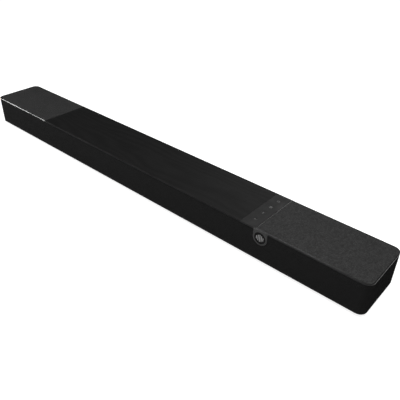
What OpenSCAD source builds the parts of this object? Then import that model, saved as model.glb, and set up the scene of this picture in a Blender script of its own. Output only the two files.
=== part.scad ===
// Soundbar with three front channels, two upward height channels and two built-in woofers.
// Millimetres. X runs along the bar, the front faces -Y, +Z is up, and z = 0 is the surface it stands on.

/* [Overall] */
// Overall width, end to end
bar_w = 1118; // [1060:1:1400]
// Overall depth, from the face of the badge to the back
bar_d = 126; // [125:1:152]
// Overall height, feet included
bar_h = 78; // [78:0.5:96]
// Radius of the four upright corners
corner_r = 15; // [12:0.5:18]

/* [Shells] */
// Wall of the moulded housings
wall = 3; // [2.5:0.1:3.6]
// Thickness of the panels along the top
panel_t = 3; // [2.5:0.1:3.6]
// Dark gap between the top panels and the front grille
shadow_gap = 1; // [0.8:0.1:1.2]
// Gap between neighbouring panels
seam = 0.4; // [0.3:0.1:0.6]
// Clearance between parts that fit into each other
fit = 0.3; // [0.2:0.05:0.4]
// Sheet thickness of the wrapped front grille
grille_t = 1.2; // [0.8:0.1:1.4]
// Chamfer along the rim of the end grilles
rim_chamfer = 0.8; // [0.4:0.1:1.2]
// Width of the rim around the end grille cloth
rim_w = 1.6; // [1.4:0.1:2.4]

/* [Top] */
// Length of each end grille
end_panel_w = 227; // [220:1:240]
// Width of the control strip
strip_w = 34; // [30:1:42]
// Diameter of a control button
button_d = 9; // [7:0.5:11]
// Distance between control buttons
button_pitch = 26; // [20:1:28]
// Travel of a control button
button_travel = 0.8; // [0.4:0.1:0.8]

/* [Badge] */
// Width of the badge
badge_w = 31; // [26:0.5:36]
// Height of the badge
badge_h = 32; // [26:0.5:36]
// How far the badge stands proud of the grille
badge_proud = 1.2; // [1:0.1:1.6]
// Diameter of the badge's inlaid disc
disc_d = 25; // [20:0.5:25]

/* [Feet] */
// Height of the feet below the body
foot_h = 9; // [5:0.5:9]
// Length of a foot
foot_l = 70; // [40:1:90]
// Width of a foot
foot_w = 16; // [12:1:20]
// Distance of a foot's centre from the end of the bar
foot_from_end = 129; // [110:1:160]

/* [Small drivers] */
// Flange diameter of the six small drivers
small_flange_d = 56; // [50:0.5:56]
// Voice coil diameter of the small drivers
small_coil_d = 15; // [13:0.5:16]
// Travel of a small cone, each way
small_travel = 2.5; // [1:0.5:2.5]
// Backwards tilt of the height drivers' seats, in degrees
height_tilt = 12; // [6:1:12]

/* [Woofers] */
// Flange diameter of the woofers
woofer_flange_d = 104; // [98:0.5:106]
// Voice coil diameter of the woofers
woofer_coil_d = 26; // [22:0.5:30]
// Travel of a woofer cone, each way
woofer_travel = 5; // [2:0.5:5]

/* [Rear] */
// Width of the socket bay
bay_w = 210; // [206:1:240]
// Height of the socket bay
bay_h = 40; // [36:1:42]
// Depth of the socket bay
bay_depth = 30; // [24:1:32]
// Bore of the bass ports
port_bore = 32; // [24:1:36]
// Length of the bass ports
port_l = 88; // [60:1:92]
// Distance between the two wall bracket inserts
bracket_pitch = 440; // [400:10:450]
// Thread diameter of the wall bracket inserts
bracket_thread = 5; // [4:1:6]

/* [Hidden] */
$fn = 64;
eps = 0.01;

// Colours
BODY = "#1b1b1c";
STRIP = "#333335";
CLOTH = "#3b3b3d";
RIM = "#4a4a4d";
INSIDE = "#2a2a2c";
STEEL = "#9a9da1";
FERRITE = "#39393c";
BRASS = "#b9934f";
PCB = "#1f5a3a";
SILVER = "#c9cbce";
RUBBER = "#141414";
CONE = "#8f8a80";
FOAM = "#202020";

// Outer planes
half_w = bar_w / 2;
y_front = -bar_d / 2 + badge_proud;
y_back = bar_d / 2;
y_mid = (y_front + y_back) / 2;
z_base = foot_h;
z_floor = z_base + wall;
z_panel = bar_h - panel_t;
z_rim = z_panel - shadow_gap;

// Inner planes
skin = grille_t + fit;             // room that the wrapped grille takes off the housing
shell_in = skin + wall;            // inner face of the housing, from the outline
inside = shell_in + fit;           // what fits inside the housing
y_in_front = y_front + inside;
y_in_back = y_back - wall - fit;
u_panel = half_w - end_panel_w;    // inner edge of an end grille
x_strip = u_panel - strip_w;       // left edge of the control strip
y_seam = y_back - corner_r - 2;    // where the wrapped grille ends on the sides
cheek = corner_r + 9;              // length of the housing's wrap round each corner
fine = 0.5;                        // chamfer of the flat top panels
cloth_z = 1.2;                     // the frame's plate under the cloth
cloth_drop = 0.3;                  // the cloth lies this far below the rim

// Screws
screw_r = 1.45;
screw_l = 8;
head_r = 2.8;
head_h = 1.8;
post_r = 3.5;
driver_screw_angles = [45, 135, 225, 315];

// Small drivers, measured from the flange's front face
small_flange_t = 2;
small_frame_r = small_flange_d / 2 - 3;
small_cone_r = small_frame_r - 4.6;
small_neck_r = small_frame_r * 0.66;
small_neck_z = -8;
small_plate_z = -12;
small_plate_t = 3;
small_magnet_t = 7;
small_depth = -small_plate_z + 2 * small_plate_t + small_magnet_t + 0.1;
small_screw_at = (small_flange_d / 2 + small_frame_r) / 2 + 0.4;

// Woofers, measured from the flange's front face
woofer_flange_t = 2.5;
woofer_frame_r = woofer_flange_d / 2 - 5;
woofer_cone_r = woofer_frame_r - 8;
woofer_neck_r = woofer_frame_r * 0.72;
woofer_neck_z = -18;
woofer_plate_z = -24;
woofer_screw_at = (woofer_flange_d / 2 + woofer_frame_r) / 2 + 0.4;

// Front baffle
baffle_t = 5;
y_baffle = y_in_front + 2;         // front face of the baffle
y_baffle_back = y_baffle + baffle_t;
z_deck = z_rim - wall;             // underside of the deck
z_axis = (z_floor + z_deck) / 2;   // axis of the front drivers
y_behind = y_baffle + small_depth; // back of the front drivers

// Trays at the ends
u_tray = u_panel + wall;           // inboard face of a tray
u_out = half_w - inside;           // outboard face of a tray
u_step = u_tray + woofer_flange_d + 16;  // wall between the woofer and the height pocket
z_woofer = z_rim - 14;             // underside of the woofer pocket's floor
z_height = z_rim - 20;             // underside of the height pocket's floor
u_woofer = (u_tray + wall + u_step) / 2;
y_woofer = (y_in_front + y_in_back) / 2;
seat_r = small_flange_d / 2 + 3;
u_height = (u_step + u_out) / 2;
y_pocket = y_behind + 8;           // front wall of the height pocket
y_height = (y_pocket + y_in_back) / 2;
z_seat = z_height + wall + 0.6 + seat_r * sin(height_tilt);
front_u = u_height;                // the outer front drivers stand in front of the height drivers

// Centre channel
centre_pitch = small_flange_d + 50;  // between the two centre cones
horn_w = 44;
horn_h = 54;
dome_r = 9.5;
horn_depth = 14;
front_driver_x = [-front_u, -centre_pitch / 2, centre_pitch / 2, front_u];
display_x = 180;
z_display = z_axis;

// Socket bay and main board
bay_x = 40;
bay_z = z_floor + 8 + bay_h / 2;
bay_wall = 2;
y_bay = y_back - bay_depth;        // outer face of the bay's back wall
z_socket = bay_z - 6;              // height of the socket centres
board_t = 1.6;
z_board = z_socket - 10;           // top of the main board
inlet_x = bay_x - 82;
hdmi_x = bay_x - 40;
optical_x = bay_x - 8;
usb_x = bay_x + 18;
jack_x = bay_x + 52;
jack_r = 4.15;
jack_l = 8.5;
main_x = [-12, 152];
main_y = [y_behind + 3, y_bay - bay_wall - 0.5];
supply_x = [-218, min(-84, bay_x - bay_w / 2 - fit - 2)];
supply_y = [-38, 44];

// Ports, bulkheads and wall bracket inserts
u_port = 290;
port_r = port_bore / 2;
port_wall = 2;
port_flare = 4;                    // radius of the mouth's flare
u_bulkhead = 241;
bulkhead_t = 3;
z_insert = z_base + 42;
insert_l = 10;

// Control strip
x_button = x_strip + strip_w / 2;
button_y = [for (i = [0:3]) y_mid + (1.5 - i) * button_pitch];
button_lip = 1.2;                  // retaining flange round a button's foot
strip_screw_y = 1.5 * button_pitch + button_d / 2 + button_lip + 3.3;
z_control_board = z_rim - 5;
z_switch = z_panel - 0.95 - button_travel - 0.1;
dish_r = 26;                       // radius of a button's dish

// Badge
badge_x = u_panel + badge_w / 2 - 3;
z_badge = bar_h - badge_h - 0.3;   // lowest point of the badge
bar_step = disc_d / 7;
bar_heights = [0.3, 0.5, 0.64, 0.5, 0.3] * disc_d;
badge_pins = [for (sx = [-1, 1]) [badge_x + sx * badge_w * 0.3, z_badge + badge_h * 0.62]];

// Feet
foot_seat = 0.8;                   // depth of a foot's seat in the floor
foot_rows = [y_front + 14 + foot_w / 2, y_back - 14 - foot_w / 2];

// Rear cover screws, and the posts under the deck and the trays
rear_screw_u = [190, u_tray + 18, half_w - 34];
z_rear_low = z_floor + 4.5;
z_rear_high = z_rim - 6;
post_y = [y_baffle_back + post_r + 0.8, y_in_back - 9];
deck_posts = [for (sx = [-1, 1], y = post_y) [sx * (u_bulkhead - post_r - 1.5), y]];
woofer_posts = [for (y = post_y) [u_tray + 9, y]];
height_post = [u_out - 8.5, post_y[1]];
shelf_post = [u_out - 8.5, post_y[0]];
stud_u = [120, 265, u_step - 25];  // pads on the baffle that back the grille

// Leads lie in three lines along the floor, behind the baffle
lead_y = y_baffle_back + 14;
lead_z = z_floor + 2;
lead_pitch = 2.8;
lead_d = 2.2;
lead_rise = 5;                     // the woofers' leads pass over the others
z_over_port = max(z_deck - 9, z_axis + port_r + port_wall + lead_d / 2 + 1);
tab_l = 6.5;                       // how far a driver's terminal stands out

// ---------- helpers ----------

// A block from its lowest to its highest corner
module block(lo, hi) translate(lo) cube(hi - lo);

// A ring about the Z axis from z0 to z1
module ring(r_out, r_in, z0, z1) difference() {
    translate([0, 0, z0]) cylinder(r = r_out, h = z1 - z0);
    translate([0, 0, z0 - 1]) cylinder(r = r_in, h = z1 - z0 + 2);
}

// A cylinder about +Y from y0 to y1
module along_y(r, y0, y1) translate([0, y0, 0]) rotate([-90, 0, 0]) cylinder(r = r, h = y1 - y0);

// The bar's outline seen from above, drawn in by an inset
module outline(inset = 0) {
    r = max(corner_r - inset, 1);
    x = half_w - inset;
    y0 = y_front + inset;
    y1 = y_back - inset;
    translate([-x + r, y0]) square([2 * (x - r), y1 - y0]);
    translate([-x, y0 + r]) square([2 * x, y1 - y0 - 2 * r]);
    for (sx = [-1, 1], y = [y0 + r, y1 - r]) translate([sx * (x - r), y]) circle(r);
}

module slab(z0, z1, inset = 0) translate([0, 0, z0]) linear_extrude(z1 - z0) outline(inset);

// The same thing at both ends of the bar
module both_ends() for (m = [0, 1]) mirror([m, 0, 0]) children();

// What is drawn for the right end, at the side asked for
module at_side(side) mirror([side < 0 ? 1 : 0, 0, 0]) children();

// Sweeps a profile of [inward, z] points round the corner from the front to the end and to the back
module end_sweep(profile, u0, y1) {
    translate([u0, 0, 0]) rotate([90, 0, 90]) linear_extrude(half_w - corner_r - u0)
        polygon([for (p = profile) [y_front + p[0], p[1]]]);
    translate([half_w - corner_r, y_front + corner_r, 0]) rotate([0, 0, -90])
        rotate_extrude(angle = 90) polygon([for (p = profile) [corner_r - p[0], p[1]]]);
    translate([0, y_front + corner_r, 0]) rotate([90, 0, 180])
        linear_extrude(y1 - y_front - corner_r) polygon([for (p = profile) [-half_w + p[0], p[1]]]);
}

// ---------- housing ----------

module post(p, top) translate([p[0], p[1], z_floor - eps]) difference() {
    cylinder(r = post_r, h = top - z_floor + eps);
    translate([0, 0, top - z_floor - screw_l]) cylinder(r = screw_r + 0.05, h = screw_l + 1);
}

module board_post(x, y) translate([x, y, z_floor - eps]) cylinder(r = 3, h = z_board - board_t - z_floor + eps);

// The moulded floor with both rounded ends
module lower_shell() color(BODY) difference() {
    union() {
        slab(z_base, z_floor);
        both_ends() {
            intersection() {
                difference() {
                    slab(z_base, z_rim, skin);
                    slab(z_base - 1, z_rim + 1, shell_in);
                }
                block([half_w - cheek, y_front, z_base], [half_w, y_back, z_rim]);
            }
            intersection() {
                difference() {
                    slab(z_base, z_rim);
                    slab(z_base - 1, z_rim + 1, shell_in);
                }
                block([half_w - cheek, y_seam, z_base], [half_w, y_back, z_rim]);
            }
            for (p = woofer_posts) post(p, z_woofer);
            post(height_post, z_height);
            post(shelf_post, z_deck);
            for (u = rear_screw_u)
                block([u - 5, y_in_back - 9, z_floor - eps], [u + 5, y_in_back, z_floor + 9]);
            // ribs that locate the baffle
            block([30, y_baffle_back + fit, z_floor - eps], [half_w - 40, y_baffle_back + fit + 1.5, z_floor + 3]);
        }
        for (p = deck_posts) post(p, z_deck);
        for (x = supply_x, y = [-26, 38]) board_post(x + (x == supply_x[0] ? 6 : -6), y);
        for (x = main_x, y = [main_y[0] + 6, main_y[1] - 7]) board_post(x + (x == main_x[0] ? 6 : -6), y);
    }
    both_ends() {
        for (u = rear_screw_u) translate([u, 0, z_rear_low]) along_y(screw_r + 0.05, y_in_back - 7, y_back);
        for (y = foot_rows) translate([half_w - foot_from_end, y, z_base - 1]) foot_shape(1 + foot_seat, fit / 2);
    }
}

// The back wall, with its socket bay window, port holes and bracket bosses
module rear_cover() color(BODY) difference() {
    union() {
        block([-half_w + cheek + fit, y_back - wall, z_floor], [half_w - cheek - fit, y_back, z_rim]);
        for (sx = [-1, 1]) translate([sx * bracket_pitch / 2, 0, z_insert])
            along_y(bracket_thread / 2 + 4, y_back - insert_l - 1, y_back - wall + eps);
    }
    block([bay_x - bay_w / 2, y_back - wall - 1, bay_z - bay_h / 2], [bay_x + bay_w / 2, y_back + 1, bay_z + bay_h / 2]);
    both_ends() {
        translate([u_port, 0, z_axis]) along_y(port_r + port_wall + 0.1, y_back - wall - 1, y_back + 1);
        translate([u_port, 0, z_axis]) along_y(port_r + 7, y_back - 1.5, y_back + 1);
        for (u = rear_screw_u, z = [z_rear_low, z_rear_high]) translate([u, 0, z]) {
            along_y(screw_r + 0.15, y_back - wall - 1, y_back + 1);
            along_y(head_r + 0.3, y_back - head_h - 0.2, y_back + 1);
        }
    }
    for (sx = [-1, 1]) translate([sx * bracket_pitch / 2, 0, z_insert])
        along_y(bracket_thread / 2 + 1.5, y_back - insert_l, y_back + 1);
    // cooling slots beside the bay
    for (x = [-205:9:-115], z = [z_axis - 12, z_axis + 2])
        block([x, y_back - wall - 1, z], [x + 3, y_back + 1, z + 10]);
}

module wall_mount_inserts() color(BRASS)
    for (sx = [-1, 1]) translate([sx * bracket_pitch / 2, 0, z_insert]) difference() {
        along_y(bracket_thread / 2 + 1.5, y_back - insert_l, y_back);
        along_y(bracket_thread / 2, y_back - insert_l + 1.5, y_back + 1);
    }

// The plate that carries every front driver
module front_baffle() color(INSIDE) difference() {
    union() {
        intersection() {
            slab(z_floor, z_deck - fit, inside);
            block([-half_w, y_baffle, 0], [half_w, y_baffle_back, bar_h]);
        }
        both_ends() for (u = stud_u, z = [z_floor + 6, z_woofer - 7]) translate([u, 0, z]) along_y(3, y_front + grille_t, y_baffle + eps);
    }
    // its top edge steps down under the woofer pockets
    both_ends() block([u_tray - fit, y_baffle - 1, z_woofer], [u_step + wall + fit, y_baffle_back + 1, bar_h]);
    // and under the control board
    block([x_button - 13, y_baffle - 1, z_control_board - 12], [x_button + 13, y_baffle_back + 1, bar_h]);
    for (x = front_driver_x) at_front(x) {
        translate([0, 0, -small_flange_t]) cylinder(r = small_flange_d / 2 + 0.15, h = 5);
        translate([0, 0, -baffle_t - 1]) cylinder(r = small_frame_r + 0.4, h = baffle_t + 2);
    }
    at_front(0) translate([0, 0, -baffle_t - 1]) cylinder(r = 20.4, h = baffle_t + 2);
    block([display_x - 36, y_baffle - 1, z_display - 8], [display_x + 36, y_baffle_back + 1, z_display + 8]);
    for (x = front_driver_x) at_front(x) for (a = driver_screw_angles) rotate(a)
        translate([small_screw_at, 0, -baffle_t - 1]) cylinder(r = 1.05, h = baffle_t);
    for (sx = [-1, 1], sz = [-1, 1]) translate([sx * (horn_w / 2 - 3.5), 0, z_axis + sz * (horn_h / 2 - 3.5)])
        along_y(1.1, y_baffle - 1, y_baffle_back + 1);
}

// The moulding under an end grille: a woofer pocket, a tilted height driver seat and a shelf over the front driver
module driver_tray(side) color(INSIDE) at_side(side) difference() {
    union() {
        difference() {
            intersection() {
                slab(z_height, z_rim, inside);
                block([u_tray, y_front, 0], [u_out, y_in_back, bar_h]);
            }
            block([u_tray - 1, -bar_d, 0], [u_step, bar_d, z_woofer]);
            block([u_tray + wall, y_in_front + wall, z_woofer + wall], [u_step, y_in_back - wall, bar_h]);
            block([u_step + wall, y_pocket + wall, z_height + wall], [u_out - wall, y_in_back - wall, bar_h]);
            block([u_step + wall, -bar_d, 0], [half_w, y_pocket, z_deck]);
            block([u_step - 1, -bar_d, 0], [half_w, y_pocket, z_woofer]);
        }
        difference() {
            on_seat() translate([0, 0, -24]) cylinder(r = seat_r, h = 24);
            block([0, -bar_d, 0], [half_w, bar_d, z_height + wall - eps]);
        }
        for (u = [rear_screw_u[1], rear_screw_u[2]])
            block([u - 4, y_in_back - 8, z_rear_high - 4], [u + 4, y_in_back - wall + eps, z_rim]);
    }
    on_seat() translate([0, 0, -30]) cylinder(r = small_frame_r + 0.4, h = 40);
    translate([u_woofer, y_woofer, z_woofer - 1]) cylinder(r = woofer_frame_r + 0.5, h = wall + 2);
    for (u = [rear_screw_u[1], rear_screw_u[2]]) translate([u, 0, z_rear_high]) along_y(screw_r + 0.05, y_in_back - 7, y_back);
    for (p = woofer_posts) translate([p[0], p[1], 0]) cylinder(r = screw_r + 0.15, h = bar_h);
    for (p = [height_post, shelf_post]) translate([p[0], p[1], 0]) cylinder(r = screw_r + 0.15, h = bar_h);
    translate([shelf_post[0], shelf_post[1], z_rim - head_h]) cylinder(r = head_r + 0.3, h = 5);
    for (a = driver_screw_angles) {
        on_seat() rotate(a) translate([small_screw_at, 0, -8]) cylinder(r = 1.1, h = 12);
        translate([u_woofer, y_woofer, z_woofer - 1]) rotate(a) translate([woofer_screw_at, 0, 0]) cylinder(r = 1.1, h = 8);
    }
}

// The frame of a tilted height driver: origin at the middle of its seat, +Z along its axis
module on_seat() translate([u_height, y_height, z_seat]) rotate([height_tilt, 0, 0]) children();

// The flat deck under the centre panel
module centre_deck() color(INSIDE) difference() {
    union() {
        block([-u_tray + fit, y_in_front, z_deck], [u_tray - fit, y_in_back, z_rim]);
        for (sx = [-1, 1]) block([sx * rear_screw_u[0] - 5, y_in_back - 9, z_deck - 8], [sx * rear_screw_u[0] + 5, y_in_back, z_deck + eps]);
        for (y = [-28, 0, 28]) block([-u_bulkhead + 1, y - 1, z_deck - 4], [u_bulkhead - 1, y + 1, z_deck + eps]);
    }
    for (p = deck_posts) translate([p[0], p[1], 0]) {
        cylinder(r = screw_r + 0.15, h = bar_h);
        translate([0, 0, z_rim - head_h]) cylinder(r = head_r + 0.3, h = 5);
    }
    for (sx = [-1, 1]) translate([sx * rear_screw_u[0], 0, z_rear_high]) along_y(screw_r + 0.05, y_in_back - 7, y_back);
    block([x_button - 13.5, y_mid - strip_screw_y - 5, z_deck - 1], [x_button + 13.5, y_mid + strip_screw_y + 5, z_rim + 1]);
}

// Boards that close off the woofer chambers
module chamber_bulkheads() color(INSIDE) both_ends() {
    difference() {
        block([u_bulkhead, y_baffle_back + fit + 1.5, z_floor], [u_bulkhead + bulkhead_t, y_in_back, z_deck - 4]);
        lead_notch(u_bulkhead);
        block([u_bulkhead - 1, 9, z_deck - 14], [u_bulkhead + bulkhead_t + 1, 19, z_deck]);
    }
    difference() {
        block([u_step - bulkhead_t, y_baffle_back + fit + 1.5, z_floor], [u_step, y_in_back, z_woofer]);
        lead_notch(u_step - bulkhead_t);
    }
}

module lead_notch(u) block([u - 1, lead_y - 5, z_floor - 1], [u + bulkhead_t + 1, lead_y + 5, z_floor + 6]);

// ---------- grilles and panels ----------

// The sheet that wraps the front and both ends
module front_grille() color(BODY) difference() {
    both_ends() end_sweep([[0, z_floor], [grille_t, z_floor], [grille_t, z_rim], [0, z_rim]], -eps, y_seam - fit);
    for (p = badge_pins) translate([p[0], 0, p[1]]) along_y(1.3, y_front - 1, y_front + grille_t + 1);
}

// The rim round an end grille, with the ribs that hold the cloth up
module grille_frame(side) color(RIM) at_side(side) {
    top = [[0, z_panel], [rim_w, z_panel], [rim_w, bar_h], [rim_chamfer, bar_h], [0, bar_h - rim_chamfer]];
    u0 = u_panel + seam / 2;
    difference() {
        union() {
            end_sweep(top, u0, y_mid + eps);
            translate([0, y_front + y_back, 0]) mirror([0, 1, 0]) end_sweep(top, u0, y_mid + eps);
            translate([0, y_back, 0]) rotate([90, 0, 0]) linear_extrude(y_back - y_front)
                polygon([for (p = top) [u0 + p[0], p[1]]]);
        }
        // the inboard corners take the same chamfer
        for (y = [y_front, y_back]) translate([u0 - 1, y, bar_h]) rotate([45, 0, 0])
            cube([rim_w + 1, rim_chamfer * sqrt(2), rim_chamfer * sqrt(2)]);
    }
    difference() {
        intersection() {
            slab(z_panel, z_panel + cloth_z, rim_w - eps);
            block([u0 + rim_w - eps, -bar_d, 0], [half_w, bar_d, bar_h]);
        }
        block([u_tray + 6, y_in_front + 6, 0], [u_step - 3, y_in_back - 6, bar_h]);
        block([u_step + 3, y_in_front + 6, 0], [u_out - 8, y_in_back - 6, bar_h]);
    }
    // feet of the frame, standing on the tray's rim
    for (y = [y_in_front + 0.6, y_in_back - 2.6]) block([u_tray + 12, y, z_rim], [u_out - 16, y + 2, z_panel + eps]);
}

// The cloth stretched over a grille frame
module grille_cloth(side) color(CLOTH) at_side(side) intersection() {
    slab(z_panel + cloth_z, bar_h - cloth_drop, rim_w + 0.1);
    block([u_panel + seam / 2 + rim_w + 0.1, -bar_d, 0], [half_w, bar_d, bar_h]);
}

// A flat panel between x0 and x1 with a fine chamfer along its front and back edges
module flat_panel(x0, x1) translate([x0, 0, 0]) rotate([90, 0, 90]) linear_extrude(x1 - x0)
    polygon([[y_front, z_panel], [y_back, z_panel], [y_back, bar_h - fine], [y_back - fine, bar_h],
             [y_front + fine, bar_h], [y_front, bar_h - fine]]);

module centre_top_panel() color(BODY) {
    flat_panel(-u_panel + seam / 2, x_strip - seam / 2);
    for (y = [y_in_front + 4, y_woofer - 1, y_in_back - 6])
        block([-u_panel + 12, y, z_rim], [x_strip - 12, y + 2, z_panel + eps]);
}

module control_panel() color(STRIP) difference() {
    union() {
        flat_panel(x_strip + seam / 2, u_panel - seam / 2);
        for (sy = [-1, 1]) translate([x_button, y_mid + sy * strip_screw_y, z_control_board]) cylinder(r = 3, h = z_panel - z_control_board + eps);
        for (sx = [-1, 1], sy = [-1, 1]) block([x_button + sx * 15 - 1, y_mid + sy * 30 - 10, z_rim], [x_button + sx * 15 + 1, y_mid + sy * 30 + 10, z_panel + eps]);
    }
    for (y = button_y) translate([x_button, y, z_panel - 1]) cylinder(r = button_d / 2 + fit, h = panel_t + 2);
    for (sy = [-1, 1]) translate([x_button, y_mid + sy * strip_screw_y, z_control_board - 1]) cylinder(r = screw_r + 0.05, h = screw_l);
}

// A control button with a retaining flange under the strip and a shallow dish on top
module button(i) color(STRIP) translate([x_button, button_y[i], 0]) difference() {
    union() {
        translate([0, 0, z_panel - 0.9]) cylinder(r = button_d / 2, h = panel_t + 0.8);
        translate([0, 0, z_panel - 0.95]) cylinder(r = button_d / 2 + button_lip, h = 0.8);
    }
    translate([0, 0, bar_h + dish_r - 0.45]) sphere(r = dish_r);
}

// ---------- badge ----------

// The shield's outline: straight sides over a round bottom
module shield(inset = 0) {
    r = badge_w / 2 - inset;
    translate([0, badge_w / 2]) circle(r);
    translate([-r, badge_w / 2]) square([2 * r, badge_h - badge_w / 2 - inset]);
}

// Badge drawings stand in the front face: x across, y up, z out of the face
module on_badge(z = 0) translate([badge_x, y_front - z, z_badge]) rotate([90, 0, 0]) children();

module badge_plate() color(RIM) {
    difference() {
        union() {
            on_badge() linear_extrude(badge_proud - 0.3) shield();
            on_badge(badge_proud - 0.3 - eps) linear_extrude(0.3 + eps) shield(0.35);
        }
        on_badge(badge_proud - 0.6) translate([0, badge_w / 2, 0]) cylinder(r = disc_d / 2, h = 2);
    }
    for (p = badge_pins) translate([p[0], 0, p[1]]) along_y(1.1, y_front - eps, y_front + 4.2);
}

module badge_disc() color(BODY) on_badge(badge_proud - 0.6) translate([0, badge_w / 2, 0]) cylinder(r = disc_d / 2 - 0.1, h = 0.35);

// Five upright bars of different heights, like a level meter
module badge_emblem() color(SILVER) on_badge(badge_proud - 0.25) for (i = [0:4])
    translate([(i - 2) * bar_step - bar_step * 0.3, badge_w / 2 - bar_heights[i] / 2, 0]) cube([bar_step * 0.6, bar_heights[i], 0.25]);

// ---------- sockets ----------

// The recessed tub that the leads plug into
module io_bay() color(BODY) difference() {
    union() {
        block([bay_x - bay_w / 2 + fit, y_bay - bay_wall, bay_z - bay_h / 2 + fit], [bay_x + bay_w / 2 - fit, y_back, bay_z + bay_h / 2 - fit]);
        block([bay_x - bay_w / 2 - 5, y_back - wall - 2.3, bay_z - bay_h / 2 - 5], [bay_x + bay_w / 2 + 5, y_back - wall, bay_z + bay_h / 2 + 5]);
    }
    block([bay_x - bay_w / 2 + fit + bay_wall, y_bay, bay_z - bay_h / 2 + fit + bay_wall], [bay_x + bay_w / 2 - fit - bay_wall, y_back + 1, bay_z + bay_h / 2 - fit - bay_wall]);
    cut_through(inlet_x, 24.4, 16.4);
    cut_through(hdmi_x, 15.8, 6.4);
    cut_through(optical_x, 10.8, 10.8);
    cut_through(usb_x, 13.8, 7);
    translate([jack_x, 0, z_socket]) along_y(jack_r + 0.3, y_bay - bay_wall - 1, y_bay + 1);
}

module cut_through(x, w, h) block([x - w / 2, y_bay - bay_wall - 1, z_socket - h / 2], [x + w / 2, y_bay + 1, z_socket + h / 2]);

// A two-pin mains inlet with a figure-eight mouth
module mains_inlet() color(RUBBER) {
    difference() {
        union() {
            block([inlet_x - 12, y_bay - 16, z_socket - 8], [inlet_x + 12, y_bay + 0.2, z_socket + 8]);
            block([inlet_x - 15, y_bay, z_socket - 10], [inlet_x + 15, y_bay + 1.5, z_socket + 10]);
        }
        for (sx = [-1, 1]) translate([inlet_x + sx * 4.3, 0, z_socket]) along_y(4.2, y_bay - 10, y_bay + 2);
        block([inlet_x - 4.3, y_bay - 10, z_socket - 2.9], [inlet_x + 4.3, y_bay + 2, z_socket + 2.9]);
    }
    for (sx = [-1, 1]) translate([inlet_x + sx * 4.3, 0, z_socket]) along_y(1.2, y_bay - 20, y_bay - 1);
}

// A board socket: an open metal shell with a contact tongue
module board_socket(x, w, h, depth, tongue_w, tongue_t, tongue_z) {
    difference() {
        block([x - w / 2, y_bay - depth, z_socket - h / 2], [x + w / 2, y_bay, z_socket + h / 2]);
        block([x - w / 2 + 0.5, y_bay - depth + 2, z_socket - h / 2 + 0.5], [x + w / 2 - 0.5, y_bay + 1, z_socket + h / 2 - 0.5]);
    }
    block([x - tongue_w / 2, y_bay - depth + 2 - eps, z_socket + tongue_z - tongue_t / 2], [x + tongue_w / 2, y_bay - 1.5, z_socket + tongue_z + tongue_t / 2]);
    for (sx = [-1, 1]) block([x + sx * (w / 2 - 1) - 0.8, y_bay - depth + 0.5, z_board], [x + sx * (w / 2 - 1) + 0.8, y_bay - depth + 6, z_socket - h / 2 + eps]);
}

module hdmi_socket() color(STEEL) board_socket(hdmi_x, 15.2, 5.8, 13, 11.4, 1.2, 0);

module usb_socket() color(STEEL) board_socket(usb_x, 13.2, 5.8, 14, 11, 1.8, 0.8);

module optical_socket() color(RUBBER) {
    difference() {
        block([optical_x - 5.1, y_bay - 13, z_socket - 5.1], [optical_x + 5.1, y_bay, z_socket + 5.1]);
        block([optical_x - 4.2, y_bay - 9, z_socket - 4.2], [optical_x + 4.2, y_bay + 1, z_socket + 4.2]);
    }
    block([optical_x - 4, y_bay - 12, z_board], [optical_x + 4, y_bay - 5, z_socket - 5.1 + eps]);
}

// A phono jack for a separate subwoofer: a collar against the bay, then the barrel
module subwoofer_jack() color(SILVER) {
    block([jack_x - 6, y_bay - 13, z_board], [jack_x + 6, y_bay - bay_wall, z_socket + 6]);
    translate([jack_x, 0, z_socket]) difference() {
        union() {
            along_y(jack_r - 0.2, y_bay - bay_wall - eps, y_bay + 0.5);
            along_y(jack_r + 1.8, y_bay, y_bay + 1);
            along_y(jack_r, y_bay + 1 - eps, y_bay + jack_l);
        }
        difference() {
            along_y(3.3, y_bay + 0.5, y_bay + jack_l + 1);
            along_y(2.4, y_bay, y_bay + jack_l - 0.8);
        }
        along_y(1.6, y_bay + 1, y_bay + jack_l + 1);
    }
}

// ---------- electronics ----------

module board(x0, x1, y0, y1, z) block([x0, y0, z - board_t], [x1, y1, z]);

module main_board() color(PCB) {
    board(main_x[0], main_x[1], main_y[0], main_y[1], z_board);
    for (i = [0:3]) translate([100 + i * 12, 0, z_board - eps]) cylinder(r = 5, h = 14);
    block([92, main_y[0] + 2, z_board - eps], [106, main_y[0] + 16, z_board + 1.6]);
    block([14, 10, z_board - eps], [28, 24, z_board + 1.4]);
    // headers for the supply, the display and the control strip, then one at each end for the speakers
    block([-9, main_y[0] + 3, z_board - eps], [-1, main_y[0] + 15, z_board + 8]);
    block([134, main_y[0] + 3, z_board - eps], [142, main_y[0] + 11, z_board + 6]);
    block([136, 14, z_board - eps], [144, 22, z_board + 6]);
    block([main_x[0] - 1, -7, z_board - eps], [main_x[0] + 8, 9, z_board + 7]);
    block([main_x[1] - 8, -7, z_board - eps], [main_x[1] + 1, 9, z_board + 7]);
}

// Finned heat sink over the amplifier chips
module amplifier_heat_sink() color(STEEL) {
    y = main_y[0] + 3;
    block([8, y, z_board + 2.2], [84, y + 26, z_board + 5.2]);
    for (i = [0:10]) block([8 + i * 7.44, y, z_board + 5.2 - eps], [9.6 + i * 7.44, y + 26, z_board + 19]);
    for (x = [20, 58]) block([x, y + 6, z_board], [x + 14, y + 20, z_board + 2.2 + eps]);
}

module power_supply_board() color(PCB) {
    board(supply_x[0], supply_x[1], supply_y[0], supply_y[1], z_board);
    block([-116, supply_y[0] + 1, z_board - eps], [-92, supply_y[0] + 9, z_board + 22]);
    block([-112, 24, z_board - eps], [-90, 38, z_board + 12]);
    block([-212, 20, z_board - eps], [-196, 36, z_board + 14]);
    translate([-150, 32, z_board - eps]) cylinder(r = 7, h = 8);
}

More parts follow.
